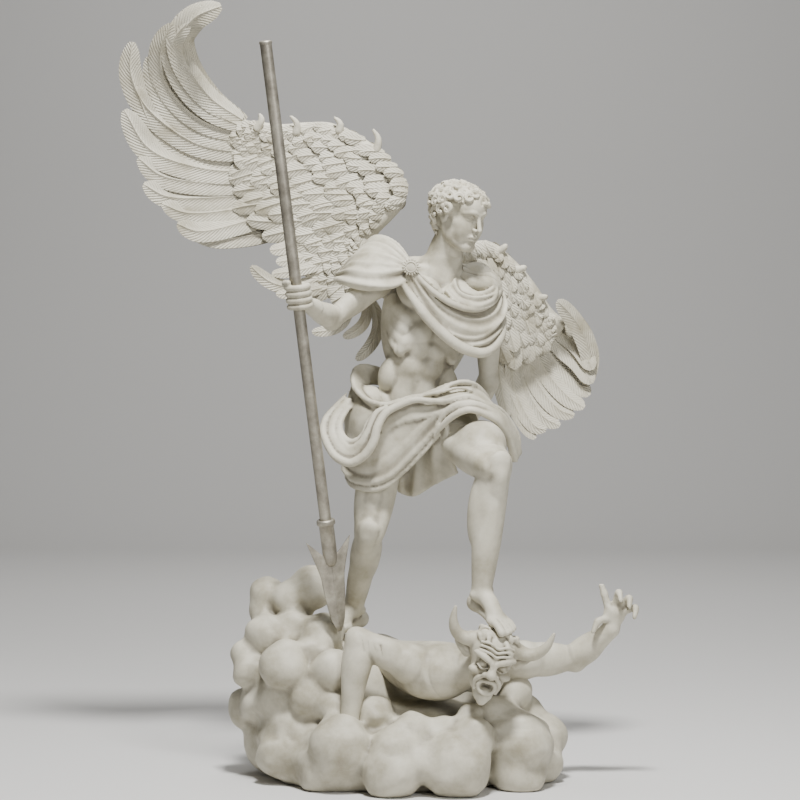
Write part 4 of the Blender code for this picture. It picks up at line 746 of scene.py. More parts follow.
# Cloth: a sheet through guide lines. Folds and ridges run along the guides;
# a ridge is (where across it starts, where it ends, width, height)
def drape(guides, ridges=(), folds=0, depth=0.014, hem=0.006, wall=0.007, along=150, across=110,
        drift=0.08, seed=3, outward=None):
    rng = np.random.default_rng(seed)
    lines = np.array([flow(guide, along) for guide in guides])
    sheet = flow(lines.reshape(len(lines), -1), across).reshape(across, along, 3)
    v = np.linspace(0, 1, across)[:, None]
    u = np.linspace(0, 1, along)[None, :]
    warp = drift * np.sin(2 * math.pi * (0.8 * u + rng.uniform())) * np.sin(math.pi * v)
    warp = warp + 0.3 * drift * np.sin(2 * math.pi * (1.9 * u + 1.3 * v + rng.uniform()))
    height = hem * (np.exp(-(v / 0.035) ** 2) + np.exp(-((1 - v) / 0.035) ** 2)) + 0 * u
    if folds:
        cuts = np.cumsum(np.r_[0, rng.uniform(0.55, 1.6, folds)])
        place = np.interp(np.clip(v + warp, 0, 1), cuts / cuts[-1], np.arange(folds + 1))
        tall = rng.uniform(0.5, 1.15, folds)[np.minimum(place.astype(int), folds - 1)]
        height = height + depth * tall * (0.5 - 0.5 * np.cos(2 * math.pi * place)) ** 0.75
    for first, last, width, tall in ridges:
        crest = first + (last - first) * u + 0.25 * drift * np.sin(5 * u + 9 * first)
        height = height + tall * np.exp(-((v - crest) / width) ** 2) * (0.75 + 0.25
            * np.sin(4 * u + 7 * first))
    du = np.gradient(sheet, axis=1)
    dv = np.gradient(sheet, axis=0)
    normal = np.cross(du, dv)
    normal /= np.maximum(np.linalg.norm(normal, axis=2), 1e-9)[:, :, None]
    outward = at(0, -1, 0) if outward is None else outward
    if np.einsum("ijk,k->", normal, outward) < 0:
        normal = -normal
    front = sheet + normal * height[:, :, None]
    back = sheet - normal * wall
    return shell(front, back)


def shell(front, back):
    # the closed form between two sheets of the same grid
    rows, columns = front.shape[:2]
    points = np.vstack([front.reshape(-1, 3), back.reshape(-1, 3)])
    grid = np.arange(rows * columns).reshape(rows, columns)
    a, b, c, d = (part.ravel() for part in (grid[:-1, :-1], grid[:-1, 1:], grid[1:, 1:], grid[1:, :-1]))
    face = np.column_stack([a, b, c, d])
    under = face[:, ::-1] + rows * columns
    rim = np.concatenate([grid[0, :], grid[1:, -1], grid[-1, -2::-1], grid[-2:0:-1, 0]])
    after = np.roll(rim, -1)
    sides = np.column_stack([rim, rim + rows * columns, after + rows * columns, after])
    faces = np.vstack([face, under, sides])
    return points, facedOut(points, faces)


def tube(points, widths, depths=None, facing=None, sides=14, steps=8):
    # a closed round fold or lock along points
    widths = np.broadcast_to(np.array(widths, float), len(points))
    depths = widths if depths is None else np.broadcast_to(np.array(depths, float), len(points))
    path = flow(np.column_stack([points, widths, depths]), (len(points) - 1) * steps + 1)
    facing = at(0, -1, 0) if facing is None else facing
    rings = []
    for i, row in enumerate(path):
        side, out, _ = squareUp(path[min(i + 1, len(path) - 1), :3] - path[max(i - 1, 0), :3], facing)
        turn = np.linspace(0, 2 * math.pi, sides, endpoint=False)[:, None]
        rings.append(row[:3] + side * row[3] * np.cos(turn) + out * row[4] * np.sin(turn))
    points = np.vstack(rings + [path[:1, :3], path[-1:, :3]])
    count = len(path)
    k = np.arange(sides)
    after = (k + 1) % sides
    faces = [np.column_stack([i * sides + k, i * sides + after, (i + 1) * sides + after,
        (i + 1) * sides + k]) for i in range(count - 1)]
    top, bottom = count * sides, count * sides + 1
    faces.append(np.column_stack([after, k, np.full(sides, top), np.full(sides, top)]))
    last = (count - 1) * sides
    faces.append(np.column_stack([last + k, last + after, np.full(sides, bottom),
        np.full(sides, bottom)]))
    return points, np.vstack(faces)


def joined(name, parts, slot="stone"):
    # several closed forms as one piece
    points, faces, base = [], [], 0
    for some, quads in parts:
        points.append(some)
        faces.append(quads + base)
        base += len(some)
    return skin(name, np.vstack(points), np.vstack(faces), slot)


def melted(name, parts, grain, slot="stone", smooth=1):
    # closed forms voxelled together into one skin
    whole = None
    shift = openvdb.createLinearTransform(voxelSize=grain)
    for points, quads in parts:
        same = quads[:, 2] == quads[:, 3]
        grid = openvdb.FloatGrid.createLevelSetFromPolygons(np.asarray(points, np.float32),
            triangles=np.asarray(quads[same][:, :3], np.uint32),
            quads=np.asarray(quads[~same], np.uint32), transform=shift, halfWidth=3.0)
        if whole is None:
            whole = grid
        else:
            whole.combine(grid, min)
    points, quads = whole.convertToQuads(isovalue=0.0)
    points = points.astype(np.float64)
    for _ in range(smooth):
        points = mix(points, neighbourMean(points, quads), 0.5)
    return skin(name, points, quads, slot)


mantle = dict(grain=0.0048, sashWall=0.022, capWall=0.02, rearFolds=4, foldDepth=0.018)


def makeMantle():
    sash = [marks((410, 262, -0.145), (424, 276, -0.15), (440, 291, -0.14), (458, 303, -0.118),
        (476, 306, -0.08), (490, 297, -0.03), (495, 282, 0.04), (488, 272, 0.11)),
        marks((408, 267, -0.15), (422, 288, -0.158), (440, 308, -0.15), (460, 319, -0.128),
        (480, 321, -0.088), (496, 311, -0.035), (500, 294, 0.035), (494, 280, 0.12)),
        marks((406, 272, -0.15), (420, 300, -0.16), (440, 325, -0.155), (462, 337, -0.132),
        (483, 337, -0.09), (499, 325, -0.04), (503, 308, 0.04), (497, 292, 0.13)),
        marks((403, 278, -0.145), (417, 306, -0.15), (438, 334, -0.146), (464, 350, -0.12),
        (486, 350, -0.078), (500, 338, -0.03), (503, 322, 0.04), (498, 306, 0.13))]
    cap = [marks((411, 260, -0.13), (401, 246, -0.075), (389, 238, -0.01), (376, 237, 0.055),
        (367, 243, 0.11)), marks((408, 264, -0.14), (392, 253, -0.125), (373, 247, -0.065),
        (358, 250, 0.01), (350, 260, 0.09)), marks((407, 268, -0.145), (390, 264, -0.16),
        (370, 260, -0.135), (353, 259, -0.055), (343, 268, 0.05)), marks((406, 272, -0.14),
        (391, 276, -0.165), (371, 276, -0.17), (352, 273, -0.12), (338, 276, 0.0)),
        marks((406, 278, -0.13), (393, 287, -0.15), (373, 291, -0.17), (355, 289, -0.145),
        (338, 283, -0.06), (336, 281, 0.02))]
    rear = [at(-0.15, 0.08, 1.985), at(-0.04, 0.125, 2.01), at(0.06, 0.15, 1.985), at(0.18, 0.175, 1.93),
        at(0.33, 0.165, 1.88)]
    rearLow = [at(-0.13, 0.115, 1.9), at(-0.02, 0.15, 1.85), at(0.08, 0.17, 1.79), at(0.2, 0.185, 1.72),
        at(0.372, 0.135, 1.69)]
    rearMid = [mix(a, b, 0.5) + at(0, 0.012, 0) for a, b in zip(rear, rearLow)]
    parts = [drape(sash, [(0.08, 0.2, 0.04, 0.012), (0.22, 0.44, 0.045, 0.014), (0.44, 0.56, 0.07, 0.018),
        (0.64, 0.6, 0.035, 0.009), (0.76, 0.86, 0.045, 0.01)], hem=0.008, wall=mantle["sashWall"], seed=5,
        drift=0.18), drape(cap, [(0.1, 0.04, 0.05, 0.013), (0.24, 0.14, 0.03, 0.009),
        (0.36, 0.42, 0.035, 0.01), (0.5, 0.56, 0.025, 0.006), (0.62, 0.76, 0.07, 0.02),
        (0.92, 0.93, 0.085, 0.03)], hem=0.006, wall=mantle["capWall"], seed=11, drift=0.1),
        drape([rear, rearMid, rearLow], folds=mantle["rearFolds"], depth=mantle["foldDepth"], hem=0.006,
        wall=0.02, seed=8, outward=at(0, 1, 0))]
    parts.append(tube(marks((402, 282, -0.15), (411, 296, -0.16), (425, 315, -0.163), (441, 332, -0.158),
        (459, 346, -0.138), (478, 353, -0.102), (492, 349, -0.062), (501, 336, -0.024), (503, 318, 0.04)),
        [0.011, 0.016, 0.02, 0.021, 0.021, 0.02, 0.018, 0.018, 0.016]))
    parts.append(tube(marks((413, 270, -0.158), (428, 287, -0.168), (447, 301, -0.158),
        (468, 309, -0.128), (485, 307, -0.08), (495, 294, -0.03), (494, 280, 0.05)),
        [0.006, 0.011, 0.013, 0.013, 0.013, 0.013, 0.012]))
    swags = [marks((462, 272, 0.02), (466, 283, -0.058), (478, 291, -0.078), (491, 287, -0.035),
        (497, 276, 0.05)), marks((455, 278, -0.055), (461, 293, -0.105), (476, 301, -0.108),
        (492, 297, -0.055), (500, 284, 0.055)), marks((445, 290, -0.115), (457, 303, -0.135),
        (475, 310, -0.12), (493, 306, -0.065), (503, 292, 0.05))]
    parts.append(drape(swags, folds=3, depth=0.012, hem=0.004, wall=0.03, seed=15, drift=0.12))
    for dip, size in ((0, 0.022), (5, 0.03), (11, 0.034)):
        parts.append(tube(marks((452, 262 + dip, 0.07), (462, 268 + dip, 0.04 - 0.004 * dip),
            (475, 273 + dip, 0.03 - 0.005 * dip), (488, 274 + dip, 0.04 - 0.003 * dip),
            (498, 282 + dip, 0.06)), [size * 0.6, size * 0.9, size, size, size * 0.8]))
    settle(melted("mantle", parts, mantle["grain"]), "stone", "archangel_group")


brooch = dict(place=drawn(411, 267, -0.168), size=0.036, rays=18, boss=0.02)


def makeBrooch():
    # a round boss in a ring of small rays
    facing = unit(at(-0.15, -1, 0.12))
    side, _, up = squareUp(at(0, 0, 1), facing)
    parts = []
    for n in range(brooch["rays"]):
        turn = 2 * math.pi * n / brooch["rays"]
        way = side * math.cos(turn) + up * math.sin(turn)
        long = 1.0 if n % 2 else 0.86
        parts.append(tube([brooch["place"] + way * brooch["size"] * 0.5, brooch["place"] + way
            * brooch["size"] * 0.8 + facing * 0.002, brooch["place"] + way * brooch["size"] * long],
            [0.003, 0.0042, 0.0018], sides=8, steps=3))
    disc = np.linspace(0, 2 * math.pi, 40)
    for radius, thick in ((brooch["boss"], 0.0042), (brooch["boss"] * 0.62, 0.0024)):
        parts.append(tube([brooch["place"] + facing * 0.003 + (side * math.cos(t) + up * math.sin(t))
            * radius for t in disc], thick, sides=10, steps=1))
    parts.append(tube([brooch["place"] - facing * 0.02, brooch["place"] - facing * 0.002,
        brooch["place"] + facing * 0.005, brooch["place"] + facing * 0.0075],
        [0.026, 0.022, 0.016, 0.004], facing=up, sides=40, steps=3))
    settle(joined("mantleBrooch", parts), "stone", "archangel_group")


hipCloth = dict(grain=0.0072, wall=0.026, pleats=11, pleatDepth=0.026, pleatWall=0.03, guides=13)


def makeHipCloth():
    waist = [marks((351, 384, 0.06), (362, 394, -0.04), (382, 401, -0.11), (405, 396, -0.135),
        (425, 391, -0.132), (445, 383, -0.115), (462, 380, -0.09), (478, 385, -0.05), (489, 400, 0.01),
        (490, 410, 0.1)), marks((347, 397, 0.05), (358, 406, -0.06), (380, 411, -0.128),
        (405, 403, -0.152), (425, 398, -0.155), (445, 392, -0.148), (462, 389, -0.135),
        (482, 396, -0.105), (500, 410, -0.04), (505, 420, 0.07)), marks((344, 410, 0.05),
        (356, 420, -0.07), (380, 421, -0.14), (404, 411, -0.162), (425, 406, -0.175), (445, 401, -0.19),
        (463, 399, -0.2), (484, 404, -0.18), (505, 416, -0.11), (514, 430, 0.03)), marks((343, 424, 0.05),
        (356, 432, -0.07), (380, 431, -0.14), (404, 423, -0.165), (424, 418, -0.185), (444, 411, -0.215),
        (463, 406, -0.24), (485, 411, -0.225), (507, 426, -0.15), (520, 448, -0.01))]
    thigh = [marks((426, 404, -0.165), (445, 398, -0.185), (464, 396, -0.2), (484, 401, -0.185),
        (504, 412, -0.13), (517, 432, -0.07), (523, 452, -0.02)), marks((429, 415, -0.175),
        (446, 405, -0.205), (463, 401, -0.232), (483, 406, -0.225), (502, 416, -0.18), (514, 434, -0.12),
        (521, 456, -0.06)), marks((434, 428, -0.175), (447, 414, -0.215), (462, 407, -0.25),
        (480, 410, -0.25), (499, 419, -0.215), (511, 436, -0.16), (519, 460, -0.095)),
        marks((437, 440, -0.165), (448, 422, -0.205), (461, 413, -0.245), (479, 414, -0.25),
        (497, 422, -0.22), (509, 438, -0.175), (518, 463, -0.115))]
    apron = [marks((347, 478, 0.07), (353, 488, -0.02), (370, 492, -0.085), (386, 489, -0.11),
        (401, 477, -0.12), (420, 459, -0.145), (440, 436, -0.18)), marks((344, 462, 0.06),
        (353, 473, -0.04), (370, 477, -0.1), (390, 470, -0.13), (410, 452, -0.15), (428, 434, -0.17),
        (442, 421, -0.2)), marks((343, 443, 0.055), (353, 455, -0.055), (372, 458, -0.115),
        (392, 447, -0.14), (411, 432, -0.158), (429, 417, -0.178), (444, 409, -0.205)),
        marks((344, 424, 0.05), (356, 432, -0.065), (376, 434, -0.13), (395, 424, -0.15),
        (413, 412, -0.168), (431, 405, -0.185), (446, 401, -0.2))]
    swag = [marks((346, 396, 0.01), (331, 410, -0.03), (323, 428, -0.075), (327, 446, -0.11),
        (337, 460, -0.135), (351, 465, -0.15), (366, 456, -0.165), (376, 440, -0.172), (380, 425, -0.172),
        (388, 411, -0.168), (402, 403, -0.165)), marks((350, 398, 0.0), (337, 412, -0.05),
        (332, 430, -0.092), (337, 445, -0.125), (350, 453, -0.142), (364, 444, -0.155),
        (372, 430, -0.162), (380, 416, -0.165), (394, 405, -0.16)), marks((354, 400, -0.01),
        (344, 414, -0.06), (343, 428, -0.095), (350, 438, -0.12), (359, 434, -0.138), (366, 420, -0.145),
        (376, 408, -0.148))]
    cowl = [marks((380, 368, 0.12), (364, 365, 0.11), (352, 369, 0.06), (350, 384, -0.02),
        (358, 397, -0.08), (374, 405, -0.125), (392, 404, -0.148), (412, 397, -0.158),
        (432, 393, -0.155)), marks((382, 376, 0.11), (366, 374, 0.095), (357, 380, 0.04),
        (358, 392, -0.03), (366, 402, -0.09), (380, 411, -0.13), (396, 409, -0.15), (414, 403, -0.162),
        (432, 400, -0.165)), marks((384, 386, 0.1), (368, 386, 0.08), (361, 392, 0.02), (363, 402, -0.05),
        (372, 411, -0.105), (384, 416, -0.135), (400, 413, -0.155), (416, 408, -0.168),
        (434, 406, -0.175))]
    between = [marks((398, 440, 0.02), (396, 466, 0.03), (397, 492, 0.04)),
        marks((414, 436, -0.01), (412, 466, 0.0), (413, 497, 0.01)),
        marks((430, 432, -0.12), (431, 458, -0.11), (437, 484, -0.07)),
        marks((447, 424, -0.2), (448, 448, -0.19), (457, 475, -0.15))]
    rear = []
    for degrees in np.linspace(-12, 192, hipCloth["guides"]):
        turn = math.radians(degrees)
        x, y = math.cos(turn), math.sin(turn)
        top = pelvis + at(0.175 * x, 0.14 * y, 0.08 - 0.02 * x)
        low = pelvis + at(0.005 + 0.235 * x, 0.2 * y, -0.24 + 0.075 * max(0, x) + 0.012
            * math.sin(3 * turn))
        belly = mix(top, low, 0.45) + at(0.03 * x, 0.035 * y, 0)
        rear.append([top, belly, low])
    rolls = [([(379, 371, 0.1), (363, 368, 0.09), (354, 375, 0.04), (355, 387, -0.02), (363, 397, -0.08),
        (376, 403, -0.125), (392, 404, -0.152), (408, 398, -0.163), (425, 395, -0.168),
        (438, 392, -0.166), (448, 386, -0.15), (460, 382, -0.125), (472, 383, -0.09), (482, 390, -0.04),
        (489, 401, 0.02), (492, 412, 0.1)], 0.0105), ([(434, 396, -0.175), (446, 391, -0.172),
        (458, 388, -0.165), (470, 390, -0.14), (480, 397, -0.1)], 0.0075),
        ([(349, 390, 0.04), (338, 404, -0.01), (326, 418, -0.05), (323, 431, -0.08), (328, 446, -0.112),
        (337, 458, -0.138), (351, 463, -0.152), (365, 455, -0.165), (374, 441, -0.175),
        (378, 426, -0.178), (386, 413, -0.174), (400, 405, -0.174), (415, 400, -0.184), (431, 401, -0.2),
        (446, 401, -0.212), (460, 397, -0.214), (472, 397, -0.2), (486, 404, -0.168), (499, 409, -0.118),
        (509, 420, -0.065), (518, 437, -0.03), (521, 457, -0.01)], [0.01, 0.012, 0.014, 0.015, 0.016,
        0.017, 0.018, 0.018, 0.018, 0.017, 0.016, 0.015, 0.014, 0.013, 0.012, 0.012, 0.012, 0.012, 0.012,
        0.012, 0.012, 0.01]), ([(353, 404, -0.02), (341, 421, -0.07), (341, 438, -0.105),
        (350, 448, -0.132), (361, 442, -0.15), (369, 428, -0.16), (376, 413, -0.16), (388, 406, -0.162)],
        0.012), ([(436, 426, -0.19), (447, 411, -0.214), (460, 404, -0.236), (474, 403, -0.236),
        (488, 408, -0.21), (501, 417, -0.162), (511, 432, -0.105), (518, 452, -0.06)], 0.011),
        ([(433, 438, -0.185), (446, 422, -0.222), (459, 413, -0.252), (471, 410, -0.258),
        (484, 414, -0.244), (497, 422, -0.208), (508, 437, -0.16), (516, 457, -0.118)], 0.0135)]
    parts = [drape(waist, hem=0.0, wall=hipCloth["wall"], seed=21),
        drape(thigh, hem=0.0, wall=hipCloth["wall"], seed=4), drape(apron, [(0.05, 0.06, 0.06, 0.014),
        (0.22, 0.26, 0.07, 0.022), (0.44, 0.6, 0.08, 0.01)], hem=0.004, wall=0.018, seed=9, drift=0.05),
        drape(swag, [(0.5, 0.5, 0.16, 0.01)], hem=0.0, wall=0.02, seed=2), drape(cowl,
        [(0.55, 0.5, 0.12, 0.008)], hem=0.003, wall=0.019, seed=6, drift=0.05), drape(between,
        [(0.2, 0.1, 0.07, 0.02), (0.5, 0.36, 0.07, 0.016), (0.8, 0.7, 0.1, 0.012)], hem=0.003, wall=0.019,
        seed=13, drift=0.05), drape(rear, folds=hipCloth["pleats"], depth=hipCloth["pleatDepth"],
        hem=0.003, wall=hipCloth["pleatWall"], seed=17, drift=0.02, outward=at(0, 1, 0), along=90,
        across=260)]
    for places, widths in rolls:
        widths = np.broadcast_to(np.array(widths, float), len(places)).copy()
        widths[0] *= 0.35
        widths[-1] *= 0.5
        parts.append(tube(marks(*places), widths, sides=18))
    core = []
    for centre, radii, along in ((pelvis + at(0.005, 0.01, -0.035), (0.165, 0.125, 0.105), at(0, 0, 1)),
            (drawn(369, 400, 0.01), (0.058, 0.068, 0.058), at(0, 0, 1)), (hipR + at(-0.012, 0.015, -0.11),
            (0.108, 0.112, 0.15), at(0, 0, 1)), (mix(hipL, kneeL, 0.25) + at(0.01, 0, 0.03),
            (0.08, 0.08, 0.105), kneeL - hipL)):
        shape = np.sin(np.linspace(0.05, math.pi - 0.05, 13))
        core.append(tube([centre + unit(along) * radii[2] * -math.cos(t)
            for t in np.linspace(0.05, math.pi - 0.05, 13)], radii[0] * shape, radii[1] * shape, steps=2,
            sides=28))
    settle(melted("hipCloth", parts + core, hipCloth["grain"], smooth=2), "stone", "archangel_group")


# Feathers follow quills; the tree gives every quill its vane
def featherTree():
    tree = bpy.data.node_groups.new("feathersOnQuills", "GeometryNodeTree")
    face = tree.interface
    face.new_socket("Quills", in_out="INPUT", socket_type="NodeSocketGeometry")
    for name, value in (("Vane Thickness", 0.1), ("Rachis Height", 0.09), ("Crown", 0.28)):
        face.new_socket(name, in_out="INPUT", socket_type="NodeSocketFloat").default_value = value
    face.new_socket("Steps", in_out="INPUT", socket_type="NodeSocketInt").default_value = 20
    face.new_socket("Finish", in_out="INPUT", socket_type="NodeSocketMaterial")
    face.new_socket("Feathers", in_out="OUTPUT", socket_type="NodeSocketGeometry")
    source = node(tree, "NodeGroupInput").outputs

    def named(name, kind="FLOAT"):
        return node(tree, "GeometryNodeInputNamedAttribute", data_type=kind,
            Name=name).outputs["Attribute"]

    def keep(name, geometry, value, kind="FLOAT"):
        return node(tree, "GeometryNodeStoreNamedAttribute", data_type=kind, domain="POINT", Name=name,
            Geometry=geometry, Value=value).outputs["Geometry"]

    curve = node(tree, "GeometryNodeMeshToCurve", Mesh=source["Quills"]).outputs["Curve"]
    curve = node(tree, "GeometryNodeResampleCurve", Curve=curve, Count=source["Steps"]).outputs["Curve"]
    curve = node(tree, "GeometryNodeSetCurveNormal", mode="FREE", Curve=curve,
        Normal=named("facing", "FLOAT_VECTOR")).outputs["Curve"]
    where = node(tree, "GeometryNodeSplineParameter").outputs
    curve = keep("run", curve, where["Length"])
    outline = node(tree, "ShaderNodeFloatCurve", Value=where["Factor"])
    shape = outline.mapping.curves[0]
    shape.points[0].location = (0.0, 0.42)
    shape.points[1].location = (1.0, 0.24)
    for place, width in ((0.12, 0.72), (0.32, 0.94), (0.58, 1.0), (0.79, 0.93), (0.91, 0.76),
            (0.97, 0.52)):
        shape.points.new(place, width)
    outline.mapping.update()
    size = maths(tree, "MULTIPLY", outline.outputs["Value"], named("broad"))
    curve = node(tree, "GeometryNodeSetCurveRadius", Curve=curve, Radius=size).outputs["Curve"]
    curve = keep("spread", curve, size)
    # the vane's section: a shallow arch with a raised rachis, drawn as a closed ring
    ring = node(tree, "GeometryNodeCurvePrimitiveCircle", mode="RADIUS", Resolution=16, Radius=1.0)
    spot = node(tree, "GeometryNodeInputPosition").outputs[0]
    turned, y, _ = node(tree, "ShaderNodeSeparateXYZ", spot).outputs
    # closer ring points near the rachis
    x = maths(tree, "MULTIPLY", maths(tree, "POWER", maths(tree, "ABSOLUTE", turned), 2.2),
        maths(tree, "SIGN", turned))
    arch = maths(tree, "MULTIPLY", maths(tree, "SUBTRACT", 1.0, maths(tree, "MULTIPLY", x, x)),
        source["Crown"])
    slope = maths(tree, "MULTIPLY", maths(tree, "ABSOLUTE", x), 9.0)
    peak = maths(tree, "MAXIMUM", maths(tree, "SUBTRACT", 1.0, slope), 0.0)
    front = maths(tree, "GREATER_THAN", y, 0.01)
    rachis = maths(tree, "MULTIPLY", maths(tree, "MULTIPLY", peak, source["Rachis Height"]), front)
    height = maths(tree, "ADD", maths(tree, "ADD", arch, rachis),
        maths(tree, "MULTIPLY", y, source["Vane Thickness"]))
    section = node(tree, "ShaderNodeCombineXYZ", height, x).outputs[0]
    profile = node(tree, "GeometryNodeSetPosition", Position=section,
        Geometry=keep("across", ring.outputs["Curve"], x)).outputs["Geometry"]
    made = node(tree, "GeometryNodeCurveToMesh", Curve=curve,
        **{"Profile Curve": profile, "Fill Caps": True})
    if "Scale" in made.inputs:
        tree.links.new(size, made.inputs["Scale"])
    vane = node(tree, "ShaderNodeCombineXYZ", maths(tree, "MULTIPLY", named("across"), named("spread")),
        named("run")).outputs[0]
    feathers = keep("vane", made.outputs["Mesh"], vane, "FLOAT_VECTOR")
    real = node(tree, "GeometryNodeRealizeInstances", Geometry=feathers)
    dress = node(tree, "GeometryNodeSetMaterial", Geometry=real.outputs["Geometry"],
        Material=source["Finish"])
    node(tree, "NodeGroupOutput", Feathers=dress.outputs["Geometry"])
    return tree


quillTree = featherTree()


def bowed(path, count):
    # one even bend through three points
    first, middle, last = path
    pull = 2 * middle - (first + last) / 2
    t = np.linspace(0, 1, count)[:, None]
    return (1 - t) ** 2 * first + 2 * t * (1 - t) * pull + t * t * last


def grow(name, quills, steps=20, **sizes):
    # quills: (path, half width, facing); returns the baked mesh of their feathers
    points, edges, broad, facing = [], [], [], []
    for path, width, look in quills:
        path = bowed(path, 14) if len(path) == 3 else flow(path, 18)
        first = len(points)
        points.extend(path.tolist())
        edges.extend((first + k, first + k + 1) for k in range(len(path) - 1))
        broad.extend([width] * len(path))
        facing.extend([look.tolist()] * len(path))
    mesh = bpy.data.meshes.new(name)
    mesh.from_pydata(points, edges, [])
    mesh.attributes.new("broad", "FLOAT", "POINT").data.foreach_set("value", broad)
    mesh.attributes.new("facing", "FLOAT_VECTOR", "POINT").data.foreach_set("vector", np.ravel(facing))
    quillObject = newObject(name, mesh)
    growth = quillObject.modifiers.new("feathers", "NODES")
    growth.node_group = quillTree
    given = {"Steps": steps, "Finish": finishes["feather"], **sizes}
    for socket in quillTree.interface.items_tree:
        if socket.item_type == "SOCKET" and socket.in_out == "INPUT" and socket.name in given:
            growth[socket.identifier] = given[socket.name]
    view = bpy.context.evaluated_depsgraph_get()
    baked = bpy.data.meshes.new_from_object(quillObject.evaluated_get(view), depsgraph=view)
    bpy.data.objects.remove(quillObject)
    return baked


def featherPiece(name, mesh):
    shape = bmesh.new()
    shape.from_mesh(mesh)
    bmesh.ops.recalc_face_normals(shape, faces=shape.faces)
    for edge in shape.edges:
        edge.smooth = edge.calc_face_angle(0.0) < 0.75
    shape.to_mesh(mesh)
    shape.free()
    mesh.polygons.foreach_set("use_smooth", np.ones(len(mesh.polygons), bool))
    mesh.attributes.new("hollow", "FLOAT", "POINT")
    piece = newObject(name, mesh)
    stage(f"{name}: {sum(len(p.vertices) - 2 for p in mesh.polygons)} triangles")
    return piece


# flight feathers as drawn, from quill to tip, and half the vane's width
rightFlight = [([(372, 300, 0.17), (377, 332, 0.14), (356, 360, 0.12)], 0.026),
    ([(365, 298, 0.18), (364, 322, 0.14), (343, 337, 0.11)], 0.024),
    ([(350, 298, 0.2), (341, 324, 0.14), (312, 332, 0.09)], 0.024),
    ([(335, 285, 0.21), (302, 292, 0.15), (276, 294, 0.1)], 0.024),
    ([(330, 270, 0.22), (288, 287, 0.15), (251, 266, 0.06)], 0.03),
    ([(330, 262, 0.22), (300, 270, 0.17), (272, 274, 0.12)], 0.024),
    ([(322, 250, 0.23), (300, 258, 0.19), (276, 262, 0.14)], 0.026),
    ([(310, 235, 0.24), (288, 247, 0.2), (270, 250, 0.16)], 0.028), ([(298, 222, 0.26), (262, 234, 0.24),
    (218, 239, 0.19), (190, 233, 0.15)], 0.04), ([(290, 210, 0.25), (246, 222, 0.22), (202, 232, 0.16),
    (177, 224, 0.11)], 0.046), ([(286, 200, 0.25), (236, 210, 0.23), (190, 214, 0.18), (162, 204, 0.13)],
    0.046), ([(280, 190, 0.25), (230, 197, 0.22), (172, 198, 0.15), (143, 184, 0.09)], 0.05),
    ([(276, 180, 0.25), (220, 184, 0.22), (166, 178, 0.15), (138, 158, 0.09)], 0.05),
    ([(272, 170, 0.24), (212, 171, 0.21), (152, 152, 0.12), (124, 110, 0.04)], 0.056),
    ([(266, 162, 0.24), (206, 158, 0.2), (156, 132, 0.12), (134, 84, 0.03)], 0.05),
    ([(262, 154, 0.23), (200, 146, 0.19), (150, 112, 0.1), (131, 76, 0.03), (132, 42, -0.02)], 0.052),
    ([(256, 146, 0.22), (198, 132, 0.17), (160, 98, 0.09), (148, 56, 0.0)], 0.046),
    ([(252, 138, 0.22), (200, 120, 0.16), (167, 86, 0.08), (160, 52, -0.01), (171, 24, -0.07)], 0.05),
    ([(248, 130, 0.21), (208, 110, 0.15), (180, 78, 0.07), (172, 44, -0.02), (190, 20, -0.08)], 0.046)]
rightCurl = [(242, 120, 0.2), (210, 99, 0.14), (187, 68, 0.06), (180, 38, -0.03), (194, 18, -0.09),
    (221, 6, -0.13)]
leftFlight = [([(497, 345, 0.24), (500, 380, 0.29), (508, 417, 0.28)], 0.03),
    ([(503, 350, 0.25), (510, 395, 0.31), (535, 439, 0.29)], 0.034), ([(510, 352, 0.26), (515, 392, 0.33),
    (532, 424, 0.31), (546, 430, 0.3)], 0.036), ([(517, 350, 0.27), (526, 388, 0.34), (542, 416, 0.32),
    (560, 426, 0.3)], 0.038), ([(525, 346, 0.28), (536, 382, 0.35), (556, 408, 0.33), (574, 416, 0.31)],
    0.04), ([(532, 342, 0.29), (546, 372, 0.36), (566, 396, 0.34), (584, 408, 0.31)], 0.042),
    ([(538, 336, 0.3), (556, 362, 0.37), (576, 382, 0.35), (589, 396, 0.32)], 0.044),
    ([(543, 331, 0.31), (562, 348, 0.37), (580, 364, 0.35), (591, 384, 0.32)], 0.044),
    ([(547, 326, 0.31), (566, 336, 0.36), (582, 350, 0.34), (592, 370, 0.31)], 0.042)]
leftCurl = [(588, 382, 0.34), (589, 356, 0.33), (581, 332, 0.31), (569, 314, 0.28), (557, 301, 0.24)]
rightEdge = [at(-0.13, 0.19, 2.01), at(-0.135, 0.2, 2.12), at(-0.06, 0.19, 2.2), at(0.01, 0.17, 2.27),
    at(0.015, 0.17, 2.34), at(-0.06, 0.19, 2.44), at(-0.17, 0.21, 2.52), at(-0.3, 0.22, 2.565),
    at(-0.44, 0.22, 2.545), at(-0.6, 0.21, 2.56)]
rightTrail = [at(-0.15, 0.18, 1.84), at(-0.33, 0.21, 1.9), at(-0.37, 0.22, 2.02), at(-0.45, 0.225, 2.11),
    at(-0.54, 0.225, 2.17), at(-0.6, 0.225, 2.25), at(-0.63, 0.225, 2.33), at(-0.64, 0.22, 2.4),
    at(-0.66, 0.215, 2.48), at(-0.68, 0.205, 2.54)]
leftEdge = [at(0.27, 0.2, 1.98), at(0.25, 0.16, 2.03), at(0.29, 0.17, 2.085), at(0.35, 0.2, 2.095),
    at(0.41, 0.22, 2.05), at(0.48, 0.24, 1.98), at(0.545, 0.27, 1.89), at(0.6, 0.3, 1.81),
    at(0.66, 0.32, 1.77)]
